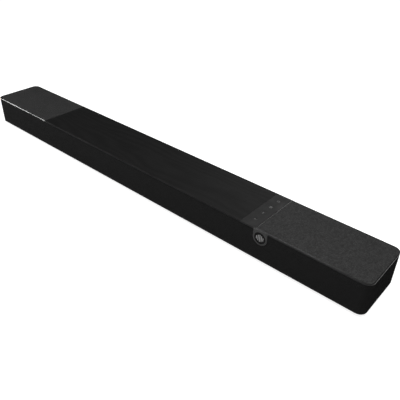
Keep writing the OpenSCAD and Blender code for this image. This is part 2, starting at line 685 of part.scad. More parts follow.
module power_transformer() color(FERRITE) {
    difference() {
        block([-190, -28, z_board], [-146, 12, z_board + 32]);
        for (sy = [-1, 1]) block([-191, -8 + sy * 11 - 5, z_board + 7], [-145, -8 + sy * 11 + 5, z_board + 25]);
    }
    translate([-168, -8, 0]) difference() {
        translate([0, 0, z_board + 7.3]) cylinder(r = 14.5, h = 17.4);
        block([-30, -5.8, 0], [30, 5.8, 100]);
    }
}

module smoothing_capacitors() color(RUBBER) for (y = [-16, 6]) translate([-106, y, z_board]) {
    cylinder(r = 9, h = 29);
    translate([0, 0, 29 - eps]) cylinder(r = 8, h = 1);
}

// Board under the control strip, with one click switch a button
module control_board() color(PCB) {
    difference() {
        board(x_button - 12, x_button + 12, y_mid - strip_screw_y - 4, y_mid + strip_screw_y + 4, z_control_board);
        for (sy = [-1, 1]) translate([x_button, y_mid + sy * strip_screw_y, 0]) cylinder(r = screw_r + 0.15, h = bar_h);
    }
    for (y = button_y) translate([x_button, y, z_control_board - eps]) {
        translate([-3, -3, 0]) cube([6, 6, z_switch - 0.9 - z_control_board]);
        cylinder(r = 1.7, h = z_switch - z_control_board);
    }
}

// Display and remote-control receiver behind the grille
module display_module() color(PCB) {
    block([display_x - 45, y_baffle_back, z_display - 14], [display_x + 45, y_baffle_back + 1.6, z_display + 14]);
    block([display_x - 30, y_baffle + 2.5, z_display - 6.5], [display_x + 30, y_baffle_back + eps, z_display + 6.5]);
}

module display_lens() color(RUBBER)
    block([display_x - 35.8, y_baffle, z_display - 7.8], [display_x + 35.8, y_baffle + 2, z_display + 7.8]);

// ---------- leads ----------

function unit(v) = v / norm(v);
function halved(p) = [for (i = [0:len(p) - 2]) each [p[i] * 0.75 + p[i + 1] * 0.25, p[i] * 0.25 + p[i + 1] * 0.75]];
function softened(p) = concat([p[0]], halved(p), [p[len(p) - 1]]);
function heading(p, i) = unit(p[min(i + 1, len(p) - 1)] - p[max(i - 1, 0)]);
// Carries the side vector along the route with as little twist as it can
function sides(p, i, v) = let(t = heading(p, i), s = unit(v - t * (v * t))) i == len(p) - 1 ? [s] : concat([s], sides(p, i + 1, s));

module lead(points, d, n = 8) {
    p = softened(softened(points));
    s = sides(p, 0, [0.31, 0.17, 0.93]);
    m = len(p);
    rings = [for (i = [0:m - 1]) let(t = heading(p, i), b = cross(t, s[i]))
        each [for (k = [0:n - 1]) p[i] + (s[i] * cos(360 * k / n) + b * sin(360 * k / n)) * d / 2]];
    faces = concat(
        [[for (k = [n - 1:-1:0]) k]],
        [for (i = [0:m - 2], k = [0:n - 1]) each [
            [i * n + k, i * n + (k + 1) % n, (i + 1) * n + k],
            [i * n + (k + 1) % n, (i + 1) * n + (k + 1) % n, (i + 1) * n + k]]],
        [[for (k = [0:n - 1]) (m - 1) * n + k]]
    );
    polyhedron(rings, [for (f = faces) [for (k = [len(f) - 1:-1:0]) f[k]]], convexity = 4);
}

// A point beside a height driver: y and z along its own tilted axes
function by_seat(y, z) = [u_height, y_height + y * cos(height_tilt) - z * sin(height_tilt), z_seat + y * sin(height_tilt) + z * cos(height_tilt)];

// Where a front driver's terminal is, seen from below
function front_terminal(x) = [x, y_baffle - small_plate_z - 0.6, z_axis - small_neck_r - tab_l];

// Leads from the main board to the drivers at each end and in the middle
module speaker_leads() color(RUBBER) {
    for (m = [0, 1]) mirror([m, 0, 0]) {
        x0 = m == 0 ? main_x[1] + 1 : -main_x[0] + 1;
        x1 = m == 0 ? x0 + 56 : x0 + 54;
        for (i = [0:2]) {
            y = -3 + i * 4;
            l = [0, lead_y + (i - 1) * lead_pitch, lead_z];
            k = i * lead_pitch;  // a later turn keeps each lead clear of the one before
            out = [[x0, y, z_board + 3.5], [x0 + 8, y, z_board + 3.5], [x0 + 15, y, lead_z + 1], [x0 + 20 + k, y, lead_z], [x1 + k, 0, 0] + l, [x1 + 26, 0, 0] + l];
            t = front_terminal(front_u);
            s = by_seat(-small_neck_r - tab_l + 2.5, small_plate_z + small_flange_t);
            end = i == 0 ? [[u_step - 12, 0, 0] + l, [u_step + 18, 0, 0] + l, [t[0], t[1], l[2]], t - [0, 0, 0.02]]
                : i == 1 ? [[u_woofer - 40, 0, 0] + l, [u_woofer - 24, 0, lead_rise] + l, [u_woofer - 8, 0, lead_rise] + l, [u_woofer, y_woofer - woofer_neck_r - tab_l + 2, l[2] + lead_rise], [u_woofer, y_woofer - woofer_neck_r - tab_l + 2, z_woofer + wall + woofer_flange_t + woofer_plate_z]]
                : [[u_step - 12, 0, 0] + l, [u_step + 18, 0, 0] + l, [s[0], s[1] - 6, l[2] + 2], [s[0], s[1], l[2] + 14], s - [0, 0, 0.3]];
            lead(concat(out, end), lead_d);
        }
    }
    // centre cones and tweeter, soldered to the underside of the board
    for (sx = [-1, 1]) {
        t = front_terminal(sx * centre_pitch / 2);
        x = sx < 0 ? -9.5 : 60;
        lead([[x, main_y[0] + 3, z_board - board_t - 0.02], [x, main_y[0] + 3, lead_z + 2], [(x + t[0]) / 2, (main_y[0] + t[1]) / 2, lead_z], [t[0], t[1], lead_z], t - [0, 0, 0.02]], lead_d);
    }
    lead([[2, main_y[0] + 3, z_board - board_t - 0.02], [2, main_y[0] + 3, lead_z + 3], [0, y_baffle + horn_depth + 8, lead_z + 1], [0, y_baffle + horn_depth + 8, z_axis - 18.02]], lead_d);
}

// Mains and supply leads, then the display's and the control strip's
module board_leads() color(RUBBER) {
    for (s = [-1, 1]) lead([[inlet_x - 4.3 * s, y_bay - 20, z_socket], [inlet_x - 4.3 * s, y_bay - 29 + (s < 0 ? -3.6 : 0), z_socket], [-66, 8 + s * 4, z_board + 14], [-96, 20 + s * 3, z_board + 22], [-101 + s * 4, 31, z_board + 19], [-101 + s * 4, 31, z_board + 12]], lead_d);
    lead([[-104, supply_y[0] + 5, z_board + 22], [-104, supply_y[0] + 5, z_board + 28], [-84, main_y[0] + 2, z_board + 26], [-50, main_y[0] + 5, z_board + 18], [-5, main_y[0] + 9, z_board + 16], [-5, main_y[0] + 9, z_board + 8]], 3);
    lead([[display_x - 10, y_baffle_back + 1.6, z_display], [display_x - 10, y_baffle_back + 8, z_display], [display_x - 24, y_baffle_back + 20, z_display - 2], [138, main_y[0] + 7, z_display - 2], [138, main_y[0] + 7, z_board + 6]], lead_d);
    lead([[x_button - 8, 14, z_control_board - board_t], [x_button - 8, 14, z_over_port], [x_button - 30, 14, z_over_port + 0.5], [u_bulkhead, 14, z_deck - 9], [u_bulkhead - 30, 14, z_deck - 14], [150, 18, z_board + 26], [140, 18, z_board + 18], [140, 18, z_board + 6]], lead_d);
}

// ---------- drivers ----------

// A pressed basket with windows: flange, sloping arms, the ring that the motor hangs from, and a terminal tab
module basket(flange_r, flange_t, frame_r, neck_r, plate_z, screw_at) {
    difference() {
        rotate_extrude() polygon([
            [frame_r - 1.5, 0], [flange_r, 0], [flange_r, -flange_t], [frame_r + 0.2, -flange_t],
            [neck_r + 2, plate_z], [neck_r - 6, plate_z], [neck_r - 6, plate_z + 1.2], [neck_r + 0.6, plate_z + 1.2],
            [frame_r - 1.5, -flange_t]]);
        for (a = [0:60:300]) rotate(a + 30) translate([(neck_r + frame_r) / 2 - 6, -frame_r * 0.16, plate_z + 2.6])
            cube([frame_r, frame_r * 0.32, -flange_t - plate_z - 4]);
        for (a = driver_screw_angles) rotate(a) translate([screw_at, 0, -flange_t - 1]) cylinder(r = 1.1, h = flange_t + 2);
    }
    translate([-4, -neck_r - tab_l, plate_z]) cube([8, tab_l, 1.2]);
}

// T-yoke, ferrite ring and top plate round the voice coil gap
module motor(coil_r, plate_r, plate_z, plate_t, magnet_r, magnet_t, back_t) {
    z1 = plate_z - plate_t - 0.05;
    z2 = z1 - magnet_t;
    ring(plate_r, coil_r + 0.6, plate_z - plate_t, plate_z - 0.02);
    ring(magnet_r, coil_r + 3.5, z2, z1);
    difference() {
        union() {
            translate([0, 0, z2 - back_t - 0.05]) cylinder(r = magnet_r - 2, h = back_t);
            translate([0, 0, z2 - 0.1]) cylinder(r = coil_r - 1, h = plate_z - z2 + 0.1);
        }
        translate([0, 0, z2 - back_t - 1]) cylinder(r = coil_r * 0.3, h = 100);
    }
}

// Cone, voice coil former and dust cap: everything that moves
module cone(cone_r, coil_r, neck_z, former_end) {
    t = 0.7;
    cap_r = coil_r * 1.35;
    cap_z = neck_z + (cap_r - coil_r) / (cone_r - coil_r) * (-neck_z - 0.8);
    rotate_extrude() polygon([
        [cone_r, -0.8 + t], [cap_r, cap_z + t], [cap_r * 0.72, cap_z + cap_r * 0.32], [cap_r * 0.4, cap_z + cap_r * 0.44],
        [0, cap_z + cap_r * 0.48], [0, cap_z + cap_r * 0.48 - t], [cap_r * 0.38, cap_z + cap_r * 0.44 - t],
        [cap_r * 0.68, cap_z + cap_r * 0.3 - t], [cap_r - t * 1.4, cap_z], [coil_r - 0.3, neck_z + 0.6],
        [coil_r - 0.3, former_end], [coil_r + 0.2, former_end], [coil_r + 0.2, neck_z], [cone_r, -0.8]]);
}

// Half-roll surround from the cone's edge to the flange, and the corrugated spider round the coil
module suspension(frame_r, cone_r, roll, coil_r, spider_r, spider_z) {
    mid = (frame_r - 1.6 + cone_r) / 2;
    half = (frame_r - 1.6 - cone_r) / 2;
    rotate_extrude() polygon(concat(
        [for (a = [180:-22.5:0]) [mid + half * cos(a), roll * sin(a) - 0.05]],
        [for (a = [0:22.5:180]) [mid + (half - 0.6) * cos(a) * (a == 0 || a == 180 ? half / (half - 0.6) : 1), (roll - 0.6) * sin(a) - 0.65]]));
    n = 4;
    step = (spider_r - coil_r - 0.3) / (2 * n);
    rotate_extrude() polygon(concat(
        [for (i = [0:2 * n]) [coil_r + 0.3 + i * step, spider_z + (i % 2) * 0.8]],
        [for (i = [2 * n:-1:0]) [coil_r + 0.3 + i * step, spider_z - 0.4 + (i % 2) * 0.8]]));
}

// The small driver's four groups of pieces
module small_basket() basket(small_flange_d / 2, small_flange_t, small_frame_r, small_neck_r, small_plate_z, small_screw_at);
module small_motor() motor(small_coil_d / 2, small_frame_r * 0.64, small_plate_z, small_plate_t, small_frame_r * 0.76, small_magnet_t, small_plate_t);
module small_cone() cone(small_cone_r, small_coil_d / 2, small_neck_z, small_plate_z - 7);
module small_suspension() suspension(small_frame_r, small_cone_r + 0.1, 2, small_coil_d / 2, small_neck_r, small_plate_z + 1.62);

// The woofer's four groups of pieces
module woofer_basket() basket(woofer_flange_d / 2, woofer_flange_t, woofer_frame_r, woofer_neck_r, woofer_plate_z, woofer_screw_at);
module woofer_motor() motor(woofer_coil_d / 2, woofer_frame_r * 0.62, woofer_plate_z, 5, woofer_frame_r * 0.76, 10, 5);
module woofer_cone() cone(woofer_cone_r, woofer_coil_d / 2, woofer_neck_z, woofer_plate_z - 9.5);
module woofer_suspension() suspension(woofer_frame_r, woofer_cone_r + 0.1, 4, woofer_coil_d / 2, woofer_neck_r, woofer_plate_z + 1.62);

// Places: a front driver at x, a height driver or a woofer at one side
module at_front(x) translate([x, y_baffle, z_axis]) rotate([90, 0, 0]) children();
module at_height(side) at_side(side) on_seat() translate([0, 0, small_flange_t + 0.02]) children();
module at_woofer(side) translate([side * u_woofer, y_woofer, z_woofer + wall + woofer_flange_t + 0.02]) children();

module every_small() {
    for (x = front_driver_x) at_front(x) children();
    for (s = [-1, 1]) at_height(s) children();
}

// Horn plate with a round flare in front of the tweeter's dome
module tweeter_horn() color(BODY) at_front(0) difference() {
    union() {
        translate([-horn_w / 2, -horn_h / 2, 0]) cube([horn_w, horn_h, 2]);
        translate([0, 0, -horn_depth]) cylinder(r = 20, h = horn_depth + eps);
    }
    rotate_extrude() polygon([[0, 3], [18.5, 3], [18.5, 2], [16, -2], [13, -7], [11, -horn_depth + 1], [11, -horn_depth - 1], [0, -horn_depth - 1]]);
    for (sx = [-1, 1], sy = [-1, 1]) translate([sx * (horn_w / 2 - 3.5), sy * (horn_h / 2 - 3.5), -1]) cylinder(r = 1.1, h = 5);
}

module tweeter_dome() color(SILVER) at_front(0) rotate_extrude() polygon(concat(
    [for (a = [0:15:90]) [dome_r * cos(a), -horn_depth + 0.4 + 4 * sin(a)]],
    [for (a = [90:-15:0]) [(dome_r - 0.5) * cos(a), -horn_depth + 0.4 + 3.5 * sin(a)]],
    [[dome_r - 0.5, -horn_depth - 4], [dome_r, -horn_depth - 4]]));

module tweeter_motor() color(FERRITE) at_front(0) {
    ring(18, dome_r + 0.8, -horn_depth - 5, -horn_depth - 0.05);
    translate([0, 0, -horn_depth - 14]) cylinder(r = 18, h = 8.95);
    translate([0, 0, -horn_depth - 5.1]) cylinder(r = dome_r - 1.1, h = 4.5);
}

// ---------- fasteners and feet ----------

module foot_shape(h, grow = 0) {
    r = foot_w / 2 + grow;
    x = foot_l / 2 - foot_w / 2;
    linear_extrude(h) {
        translate([-x, -r]) square([2 * x, 2 * r]);
        for (sx = [-1, 1]) translate([sx * x, 0]) circle(r);
    }
}

module rubber_feet() color(RUBBER) both_ends() for (y = foot_rows)
    translate([half_w - foot_from_end, y, 0]) foot_shape(foot_h + foot_seat);

// A pan-head screw with a cross recess: origin under the head, shank down -Z
module screw(r, l, hr, hh) difference() {
    union() {
        translate([0, 0, -l]) cylinder(r = r, h = l + eps);
        cylinder(r = hr, h = hh);
    }
    for (a = [0, 90]) rotate(a) translate([-hr * 0.6, -hr * 0.14, hh * 0.45]) cube([hr * 1.2, hr * 0.28, hh]);
}

module case_screw() screw(screw_r, screw_l - 1, head_r, head_h);

module case_screws() color(STEEL) {
    both_ends() {
        for (u = rear_screw_u, z = [z_rear_low, z_rear_high])
            translate([u, y_back - head_h - 0.2, z]) rotate([-90, 0, 0]) case_screw();
        for (p = woofer_posts) translate([p[0], p[1], z_woofer + wall]) case_screw();
        translate([height_post[0], height_post[1], z_height + wall]) case_screw();
        translate([shelf_post[0], shelf_post[1], z_rim - head_h]) case_screw();
    }
    for (p = deck_posts) translate([p[0], p[1], z_rim - head_h]) case_screw();
    for (sy = [-1, 1]) translate([x_button, y_mid + sy * strip_screw_y, z_control_board - board_t]) rotate([180, 0, 0]) case_screw();
}

module driver_screws() color(STEEL) {
    every_small() for (a = driver_screw_angles) rotate(a)
        translate([small_screw_at, 0, 0]) screw(1, 5, 1.35, 0.8);
    for (s = [-1, 1]) at_woofer(s) for (a = driver_screw_angles) rotate(a)
        translate([woofer_screw_at, 0, 0]) screw(1, 5, 1.8, 1);
    at_front(0) for (sx = [-1, 1], sy = [-1, 1])
        translate([sx * (horn_w / 2 - 3.5), sy * (horn_h / 2 - 3.5), 2]) screw(1, 6, 1.35, 0.8);
}

module bass_port(side) color(INSIDE) at_side(side) translate([u_port, 0, z_axis]) difference() {
    union() {
        along_y(port_r + port_wall, y_back - port_l, y_back);
        along_y(port_r + 6.8, y_back - 1.5, y_back);
    }
    along_y(port_r, y_back - port_l - 1, y_back + 1);
    // flared mouth
    translate([0, y_back, 0]) rotate([90, 0, 0]) rotate_extrude()
        polygon(concat([[0, -1], [port_r + port_flare, -1]],
            [for (a = [90:-15:0]) [port_r + port_flare * (1 - cos(a)), port_flare * (1 - sin(a))]], [[0, port_flare]]));
}

// ---------- nodes ----------

lower_shell();
rear_cover();
front_baffle();
driver_tray(-1);  // left_driver_tray
driver_tray(1);  // right_driver_tray
centre_deck();
chamber_bulkheads();
front_grille();
grille_frame(-1);  // left_grille_frame
grille_cloth(-1);  // left_grille_cloth
grille_frame(1);  // right_grille_frame
grille_cloth(1);  // right_grille_cloth
centre_top_panel();
control_panel();
button(0);  // power_button
button(1);  // source_button
button(2);  // volume_up_button
button(3);  // volume_down_button
badge_plate();
badge_disc();
badge_emblem();
io_bay();
bass_port(-1);  // left_bass_port
bass_port(1);  // right_bass_port
rubber_feet();
wall_mount_inserts();
case_screws();
driver_screws();
mains_inlet();
hdmi_socket();
optical_socket();
usb_socket();
subwoofer_jack();
main_board();
amplifier_heat_sink();
power_supply_board();
power_transformer();
smoothing_capacitors();
control_board();
display_module();
display_lens();
speaker_leads();
board_leads();
color(CONE) at_front(-front_u) small_cone();  // left_front_cone
color(CONE) at_front(-centre_pitch / 2) small_cone();  // centre_left_cone
color(CONE) at_front(centre_pitch / 2) small_cone();  // centre_right_cone
color(CONE) at_front(front_u) small_cone();  // right_front_cone
color(CONE) at_height(-1) small_cone();  // left_height_cone
color(CONE) at_height(1) small_cone();  // right_height_cone
color(CONE) at_woofer(-1) woofer_cone();  // left_woofer_cone
color(CONE) at_woofer(1) woofer_cone();  // right_woofer_cone
tweeter_dome();
tweeter_horn();
tweeter_motor();
color(STEEL) every_small() small_basket();  // small_driver_frames
color(FERRITE) every_small() small_motor();  // small_driver_motors
color(FOAM) every_small() small_suspension();  // small_driver_suspensions
color(STEEL) for (s = [-1, 1]) at_woofer(s) woofer_basket();  // woofer_frames
color(FERRITE) for (s = [-1, 1]) at_woofer(s) woofer_motor();  // woofer_motors
color(FOAM) for (s = [-1, 1]) at_woofer(s) woofer_suspension();  // woofer_suspensions
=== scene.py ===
import math

import bpy
from mathutils import Matrix, Vector


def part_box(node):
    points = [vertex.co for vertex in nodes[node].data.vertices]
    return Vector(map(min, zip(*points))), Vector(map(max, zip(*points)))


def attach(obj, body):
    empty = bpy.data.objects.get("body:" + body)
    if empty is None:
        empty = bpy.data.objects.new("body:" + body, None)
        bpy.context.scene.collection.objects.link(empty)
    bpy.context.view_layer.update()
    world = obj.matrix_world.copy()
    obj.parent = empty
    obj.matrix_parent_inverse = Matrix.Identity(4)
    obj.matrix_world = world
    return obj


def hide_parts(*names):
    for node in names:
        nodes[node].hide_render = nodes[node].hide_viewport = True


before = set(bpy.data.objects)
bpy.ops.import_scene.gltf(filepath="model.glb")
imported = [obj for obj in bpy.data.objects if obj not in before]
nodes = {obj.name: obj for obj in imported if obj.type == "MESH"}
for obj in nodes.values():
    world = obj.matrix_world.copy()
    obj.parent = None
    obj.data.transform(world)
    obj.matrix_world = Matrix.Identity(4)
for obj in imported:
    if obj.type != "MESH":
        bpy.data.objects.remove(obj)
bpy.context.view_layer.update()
scene = bpy.context.scene
mm = 0.001
hair = 0.00001  # points this close count as one
near = 0.00002

# selecting and shaping


def deselectAll():
    if bpy.context.object and bpy.context.object.mode != "OBJECT":
        bpy.ops.object.mode_set(mode="OBJECT")
    bpy.ops.object.select_all(action="DESELECT")


def makeActive(obj):
    deselectAll()
    obj.select_set(True)
    bpy.context.view_layer.objects.active = obj


def applyPlace(obj):
    makeActive(obj)
    bpy.ops.object.transform_apply(location=True, rotation=True, scale=True)


def editWith(obj, kind, test):
    # selects the elements that pass the test, then leaves the object in edit mode
    makeActive(obj)
    bpy.ops.object.mode_set(mode="EDIT")
    bpy.ops.mesh.select_mode(type=kind)
    bpy.ops.mesh.select_all(action="DESELECT")
    bpy.ops.object.mode_set(mode="OBJECT")
    mesh = obj.data
    if kind == "FACE":
        for face in mesh.polygons:
            face.select = test(face)
    elif kind == "EDGE":
        for edge in mesh.edges:
            a, b = (mesh.vertices[i].co for i in edge.vertices)
            edge.select = test(a, b)
    else:
        for point in mesh.vertices:
            point.select = test(point.co)
    bpy.ops.object.mode_set(mode="EDIT")


def leaveEdit():
    bpy.ops.object.mode_set(mode="OBJECT")


def addBox(name, low, high):
    deselectAll()
    low, high = Vector(low), Vector(high)
    bpy.ops.mesh.primitive_cube_add(size=1, location=(low + high) / 2)
    obj = bpy.context.object
    obj.name = name
    obj.scale = high - low
    applyPlace(obj)
    return obj


def addDisc(name, centre, radius, height, axis="Z", sides=48):
    # a closed cylinder that starts at centre and grows along the axis
    deselectAll()
    turn = {"Z": (0, 0, 0), "Y": (-math.pi / 2, 0, 0), "-Y": (math.pi / 2, 0, 0)}[axis]
    step = {"Z": Vector((0, 0, 1)), "Y": Vector((0, 1, 0)), "-Y": Vector((0, -1, 0))}[axis]
    bpy.ops.mesh.primitive_cylinder_add(
        vertices=sides, radius=radius, depth=height, location=Vector(centre) + step * height / 2, rotation=turn
    )
    obj = bpy.context.object
    obj.name = name
    applyPlace(obj)
    return obj


def bevelWhere(obj, test, width, segments=3):
    editWith(obj, "EDGE", test)
    bpy.ops.mesh.bevel(offset=width, segments=segments, affect="EDGES", profile=0.5)
    leaveEdit()


def joinAll(objs, name):
    deselectAll()
    for obj in objs:
        obj.select_set(True)
    bpy.context.view_layer.objects.active = objs[0]
    if len(objs) > 1:
        bpy.ops.object.join()
    objs[0].name = name
    return objs[0]


def copyPiece(obj, name, offset):
    deselectAll()
    twin = obj.copy()
    twin.data = obj.data.copy()
    scene.collection.objects.link(twin)
    twin.name = name
    twin.location = Vector(twin.location) + Vector(offset)
    applyPlace(twin)
    return twin


def applyModifier(obj, kind, name, **values):
    makeActive(obj)
    modifier = obj.modifiers.new(name, kind)
    for key, value in values.items():
        setattr(modifier, key, value)
    bpy.ops.object.modifier_apply(modifier=modifier.name)


def finishPiece(obj, body, material, angle=35):
    applyPlace(obj)
    bpy.ops.object.shade_smooth_by_angle(angle=math.radians(angle))
    obj.data.materials.clear()
    obj.data.materials.append(material)
    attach(obj, body)
    return obj


# camera
cameraFacts = {
    "lens": 44.03,
    "place": (0.7186, -0.6699, 0.6217),
    "yaw": -0.70873,
    "pitch": 0.59666,
    "roll": 0.02237,
}


def addCamera(facts):
    yaw, pitch, roll = facts["yaw"], facts["pitch"], facts["roll"]
    ahead = Vector((math.sin(yaw) * math.cos(pitch), math.cos(yaw) * math.cos(pitch), -math.sin(pitch)))
    side = Vector((math.cos(yaw), -math.sin(yaw), 0))
    up = side.cross(ahead)
    right = math.cos(roll) * side + math.sin(roll) * up
    top = math.cos(roll) * up - math.sin(roll) * side
    data = bpy.data.cameras.new("camera")
    data.lens = facts["lens"]
    data.sensor_width = 36
    camera = bpy.data.objects.new("camera", data)
    turn = Matrix((right, top, -ahead)).transposed().to_4x4()
    camera.matrix_world = Matrix.Translation(facts["place"]) @ turn
    scene.collection.objects.link(camera)
    scene.camera = camera


addCamera(cameraFacts)
print("camera placed")

# shader groups


class Wiring:
    # a short way to add nodes to a tree and join them

    def __init__(self, tree):
        self.tree = tree

    def add(self, kind, **values):
        node = self.tree.nodes.new(kind)
        for key, value in values.items():
            setattr(node, key, value)
        return node

    def join(self, source, target):
        self.tree.links.new(source, target)

    def put(self, target, value):
        if isinstance(value, bpy.types.NodeSocket):
            self.join(value, target)
        else:
            target.default_value = value

    def math(self, operation, a, b=0.5, clamp=False, c=0.5):
        node = self.add("ShaderNodeMath", operation=operation, use_clamp=clamp)
        self.put(node.inputs[0], a)
        self.put(node.inputs[1], b)
        self.put(node.inputs[2], c)
        return node.outputs[0]

    def noise(self, vector, scale, detail=2.0, rough=0.5):
        node = self.add("ShaderNodeTexNoise")
        self.put(node.inputs["Vector"], vector)
        self.put(node.inputs["Scale"], scale)
        self.put(node.inputs["Detail"], detail)
        self.put(node.inputs["Roughness"], rough)
        return node.outputs["Fac"]

    def stretch(self, vector, scale):
        node = self.add("ShaderNodeMapping")
        self.put(node.inputs["Vector"], vector)
        node.inputs["Scale"].default_value = scale
        return node.outputs["Vector"]

    def remap(self, value, low, high, newLow=0.0, newHigh=1.0):
        node = self.add("ShaderNodeMapRange")
        self.put(node.inputs["Value"], value)
        node.inputs["From Min"].default_value = low
        node.inputs["From Max"].default_value = high
        self.put(node.inputs["To Min"], newLow)
        self.put(node.inputs["To Max"], newHigh)
        return node.outputs["Result"]

    def mixColour(self, amount, a, b):
        node = self.add("ShaderNodeMix", data_type="RGBA")
        self.put(node.inputs["Factor"], amount)
        self.put(node.inputs["A"], a)
        self.put(node.inputs["B"], b)
        return node.outputs["Result"]


def newGroup(name, inputs, outputs):
    tree = bpy.data.node_groups.new(name, "ShaderNodeTree")
    for label, kind, value in inputs:
        socket = tree.interface.new_socket(name=label, in_out="INPUT", socket_type=kind)
        if value is not None:
            socket.default_value = value
    for label, kind in outputs:
        tree.interface.new_socket(name=label, in_out="OUTPUT", socket_type=kind)
    wires = Wiring(tree)
    return tree, wires, wires.add("NodeGroupInput").outputs, wires.add("NodeGroupOutput").inputs


def buildMouldedGrain():
    # spark-eroded mould texture: fine pits over a faint broad unevenness
    tree, w, given, out = newGroup(
        "mouldedGrain",
        [
            ("Vector", "NodeSocketVector", None),
            ("Grains Per Metre", "NodeSocketFloat", 1800.0),
            ("Unevenness", "NodeSocketFloat", 0.3),
        ],
        [("Height", "NodeSocketFloat"), ("Shade", "NodeSocketFloat"), ("Roughness Shift", "NodeSocketFloat")],
    )
    fine = w.noise(given["Vector"], given["Grains Per Metre"], 3.0, 0.6)
    broad = w.noise(given["Vector"], 45.0, 4.0, 0.55)
    w.join(fine, out["Height"])
    uneven = w.math("MULTIPLY", w.math("SUBTRACT", broad, 0.5), given["Unevenness"])
    w.join(
        w.math(
            "ADD", w.math("ADD", w.math("MULTIPLY", w.math("SUBTRACT", fine, 0.5), 0.35), uneven), 0.5, True,
        ),
        out["Shade"],
    )
    w.join(w.math("MULTIPLY", w.math("SUBTRACT", broad, 0.5), 0.35), out["Roughness Shift"])
    return tree


def buildClothWeave():
    # plain weave: each thread rises over one neighbour and dips under the next
    tree, w, given, out = newGroup(
        "clothWeave",
        [
            ("Vector", "NodeSocketVector", None),
            ("Threads Per Metre", "NodeSocketFloat", 900.0),
            ("Slub", "NodeSocketFloat", 0.4),
            ("Fleck", "NodeSocketFloat", 0.5),
            ("Melange", "NodeSocketFloat", 1.0),
        ],
        [("Height", "NodeSocketFloat"), ("Shade", "NodeSocketFloat"), ("Gap", "NodeSocketFloat")],
    )
    wobble = w.noise(given["Vector"], 260.0, 2.0)
    scaled = w.add("ShaderNodeVectorMath", operation="SCALE")
    w.join(given["Vector"], scaled.inputs[0])
    w.join(w.math("MULTIPLY", given["Threads Per Metre"], math.pi), scaled.inputs["Scale"])
    split = w.add("ShaderNodeSeparateXYZ")
    w.join(scaled.outputs[0], split.inputs[0])
    shift = w.math("MULTIPLY", w.math("MULTIPLY", w.math("SUBTRACT", wobble, 0.5), given["Slub"]), 4.0)
    along = w.math("ADD", split.outputs["X"], shift)
    across = w.math("SUBTRACT", split.outputs["Y"], shift)
    sinAlong, sinAcross = w.math("SINE", along), w.math("SINE", across)
    warp, weft = w.math("ABSOLUTE", sinAlong), w.math("ABSOLUTE", sinAcross)
    over = w.remap(w.math("MULTIPLY", w.math("COSINE", along), w.math("COSINE", across)), -0.2, 0.2)
    warpHigh = w.math("MULTIPLY", warp, w.math("MULTIPLY_ADD", over, 0.7))
    weftHigh = w.math("MULTIPLY", weft, w.math("SUBTRACT", 1.2, over))
    height = w.math("MAXIMUM", warpHigh, weftHigh)
    w.join(height, out["Height"])
    fibre = w.noise(w.stretch(given["Vector"], (1.0, 6.0, 1.0)), 420.0, 3.0, 0.7)
    fibreAcross = w.noise(w.stretch(given["Vector"], (6.0, 1.0, 1.0)), 420.0, 3.0, 0.7)
    flecks = w.math("MULTIPLY", w.math("SUBTRACT", w.math("MAXIMUM", fibre, fibreAcross), 0.55), given["Fleck"])
    # yarn of two tones, seen as a soft speckle from further off
    melange = w.math(
        "MULTIPLY", w.math("SUBTRACT", w.noise(given["Vector"], 330.0, 2.0, 0.8), 0.5), given["Melange"],
    )
    # raised thread crowns are made lighter by the height term: painted light; the flecks and melange are the
    # yarn's own colour
    shade = w.math("ADD", w.math("MULTIPLY", height, 0.5), w.math("MULTIPLY", flecks, 2.5))
    w.join(w.math("ADD", w.math("ADD", shade, melange), 0.2, True), out["Shade"])
    # the dips between threads give the mask for painted shade
    w.join(w.remap(height, 0.15, 0.4, 1.0, 0.0), out["Gap"])
    return tree


def buildWoodGrain():
    # long pores and drifting bands that run along X
    tree, w, given, out = newGroup(
        "woodGrain",
        [
            ("Vector", "NodeSocketVector", None),
            ("Band Density", "NodeSocketFloat", 60.0),
            ("Pores", "NodeSocketFloat", 0.6),
        ],
        [("Height", "NodeSocketFloat"), ("Shade", "NodeSocketFloat"), ("Roughness Shift", "NodeSocketFloat")],
    )
    drift = w.noise(w.stretch(given["Vector"], (2.2, 9.0, 1.0)), 1.0, 3.0, 0.5)
    split = w.add("ShaderNodeSeparateXYZ")
    w.join(given["Vector"], split.inputs[0])
    rings = w.math(
        "ADD", w.math("MULTIPLY", split.outputs["Y"], given["Band Density"]), w.math("MULTIPLY", drift, 9.0),
    )
    bands = w.math("MULTIPLY_ADD", w.math("SINE", w.math("MULTIPLY", rings, 2 * math.pi)), 0.5)
    streak = w.noise(w.stretch(given["Vector"], (14.0, 620.0, 1.0)), 1.0, 4.0, 0.65)
    pores = w.remap(w.noise(w.stretch(given["Vector"], (70.0, 1500.0, 1.0)), 1.0, 2.0), 0.36, 0.46, 1.0, 0.0)
    poreDepth = w.math("MULTIPLY", pores, given["Pores"])
    w.join(w.math("SUBTRACT", w.math("MULTIPLY", streak, 0.6), poreDepth), out["Height"])
    tone = w.math("ADD", w.math("MULTIPLY", bands, 0.3), w.math("MULTIPLY", streak, 0.7))
    w.join(w.math("SUBTRACT", tone, w.math("MULTIPLY", poreDepth, 0.4), True), out["Shade"])
    w.join(w.math("MULTIPLY", w.math("SUBTRACT", streak, 0.5), 0.5), out["Roughness Shift"])
    return tree


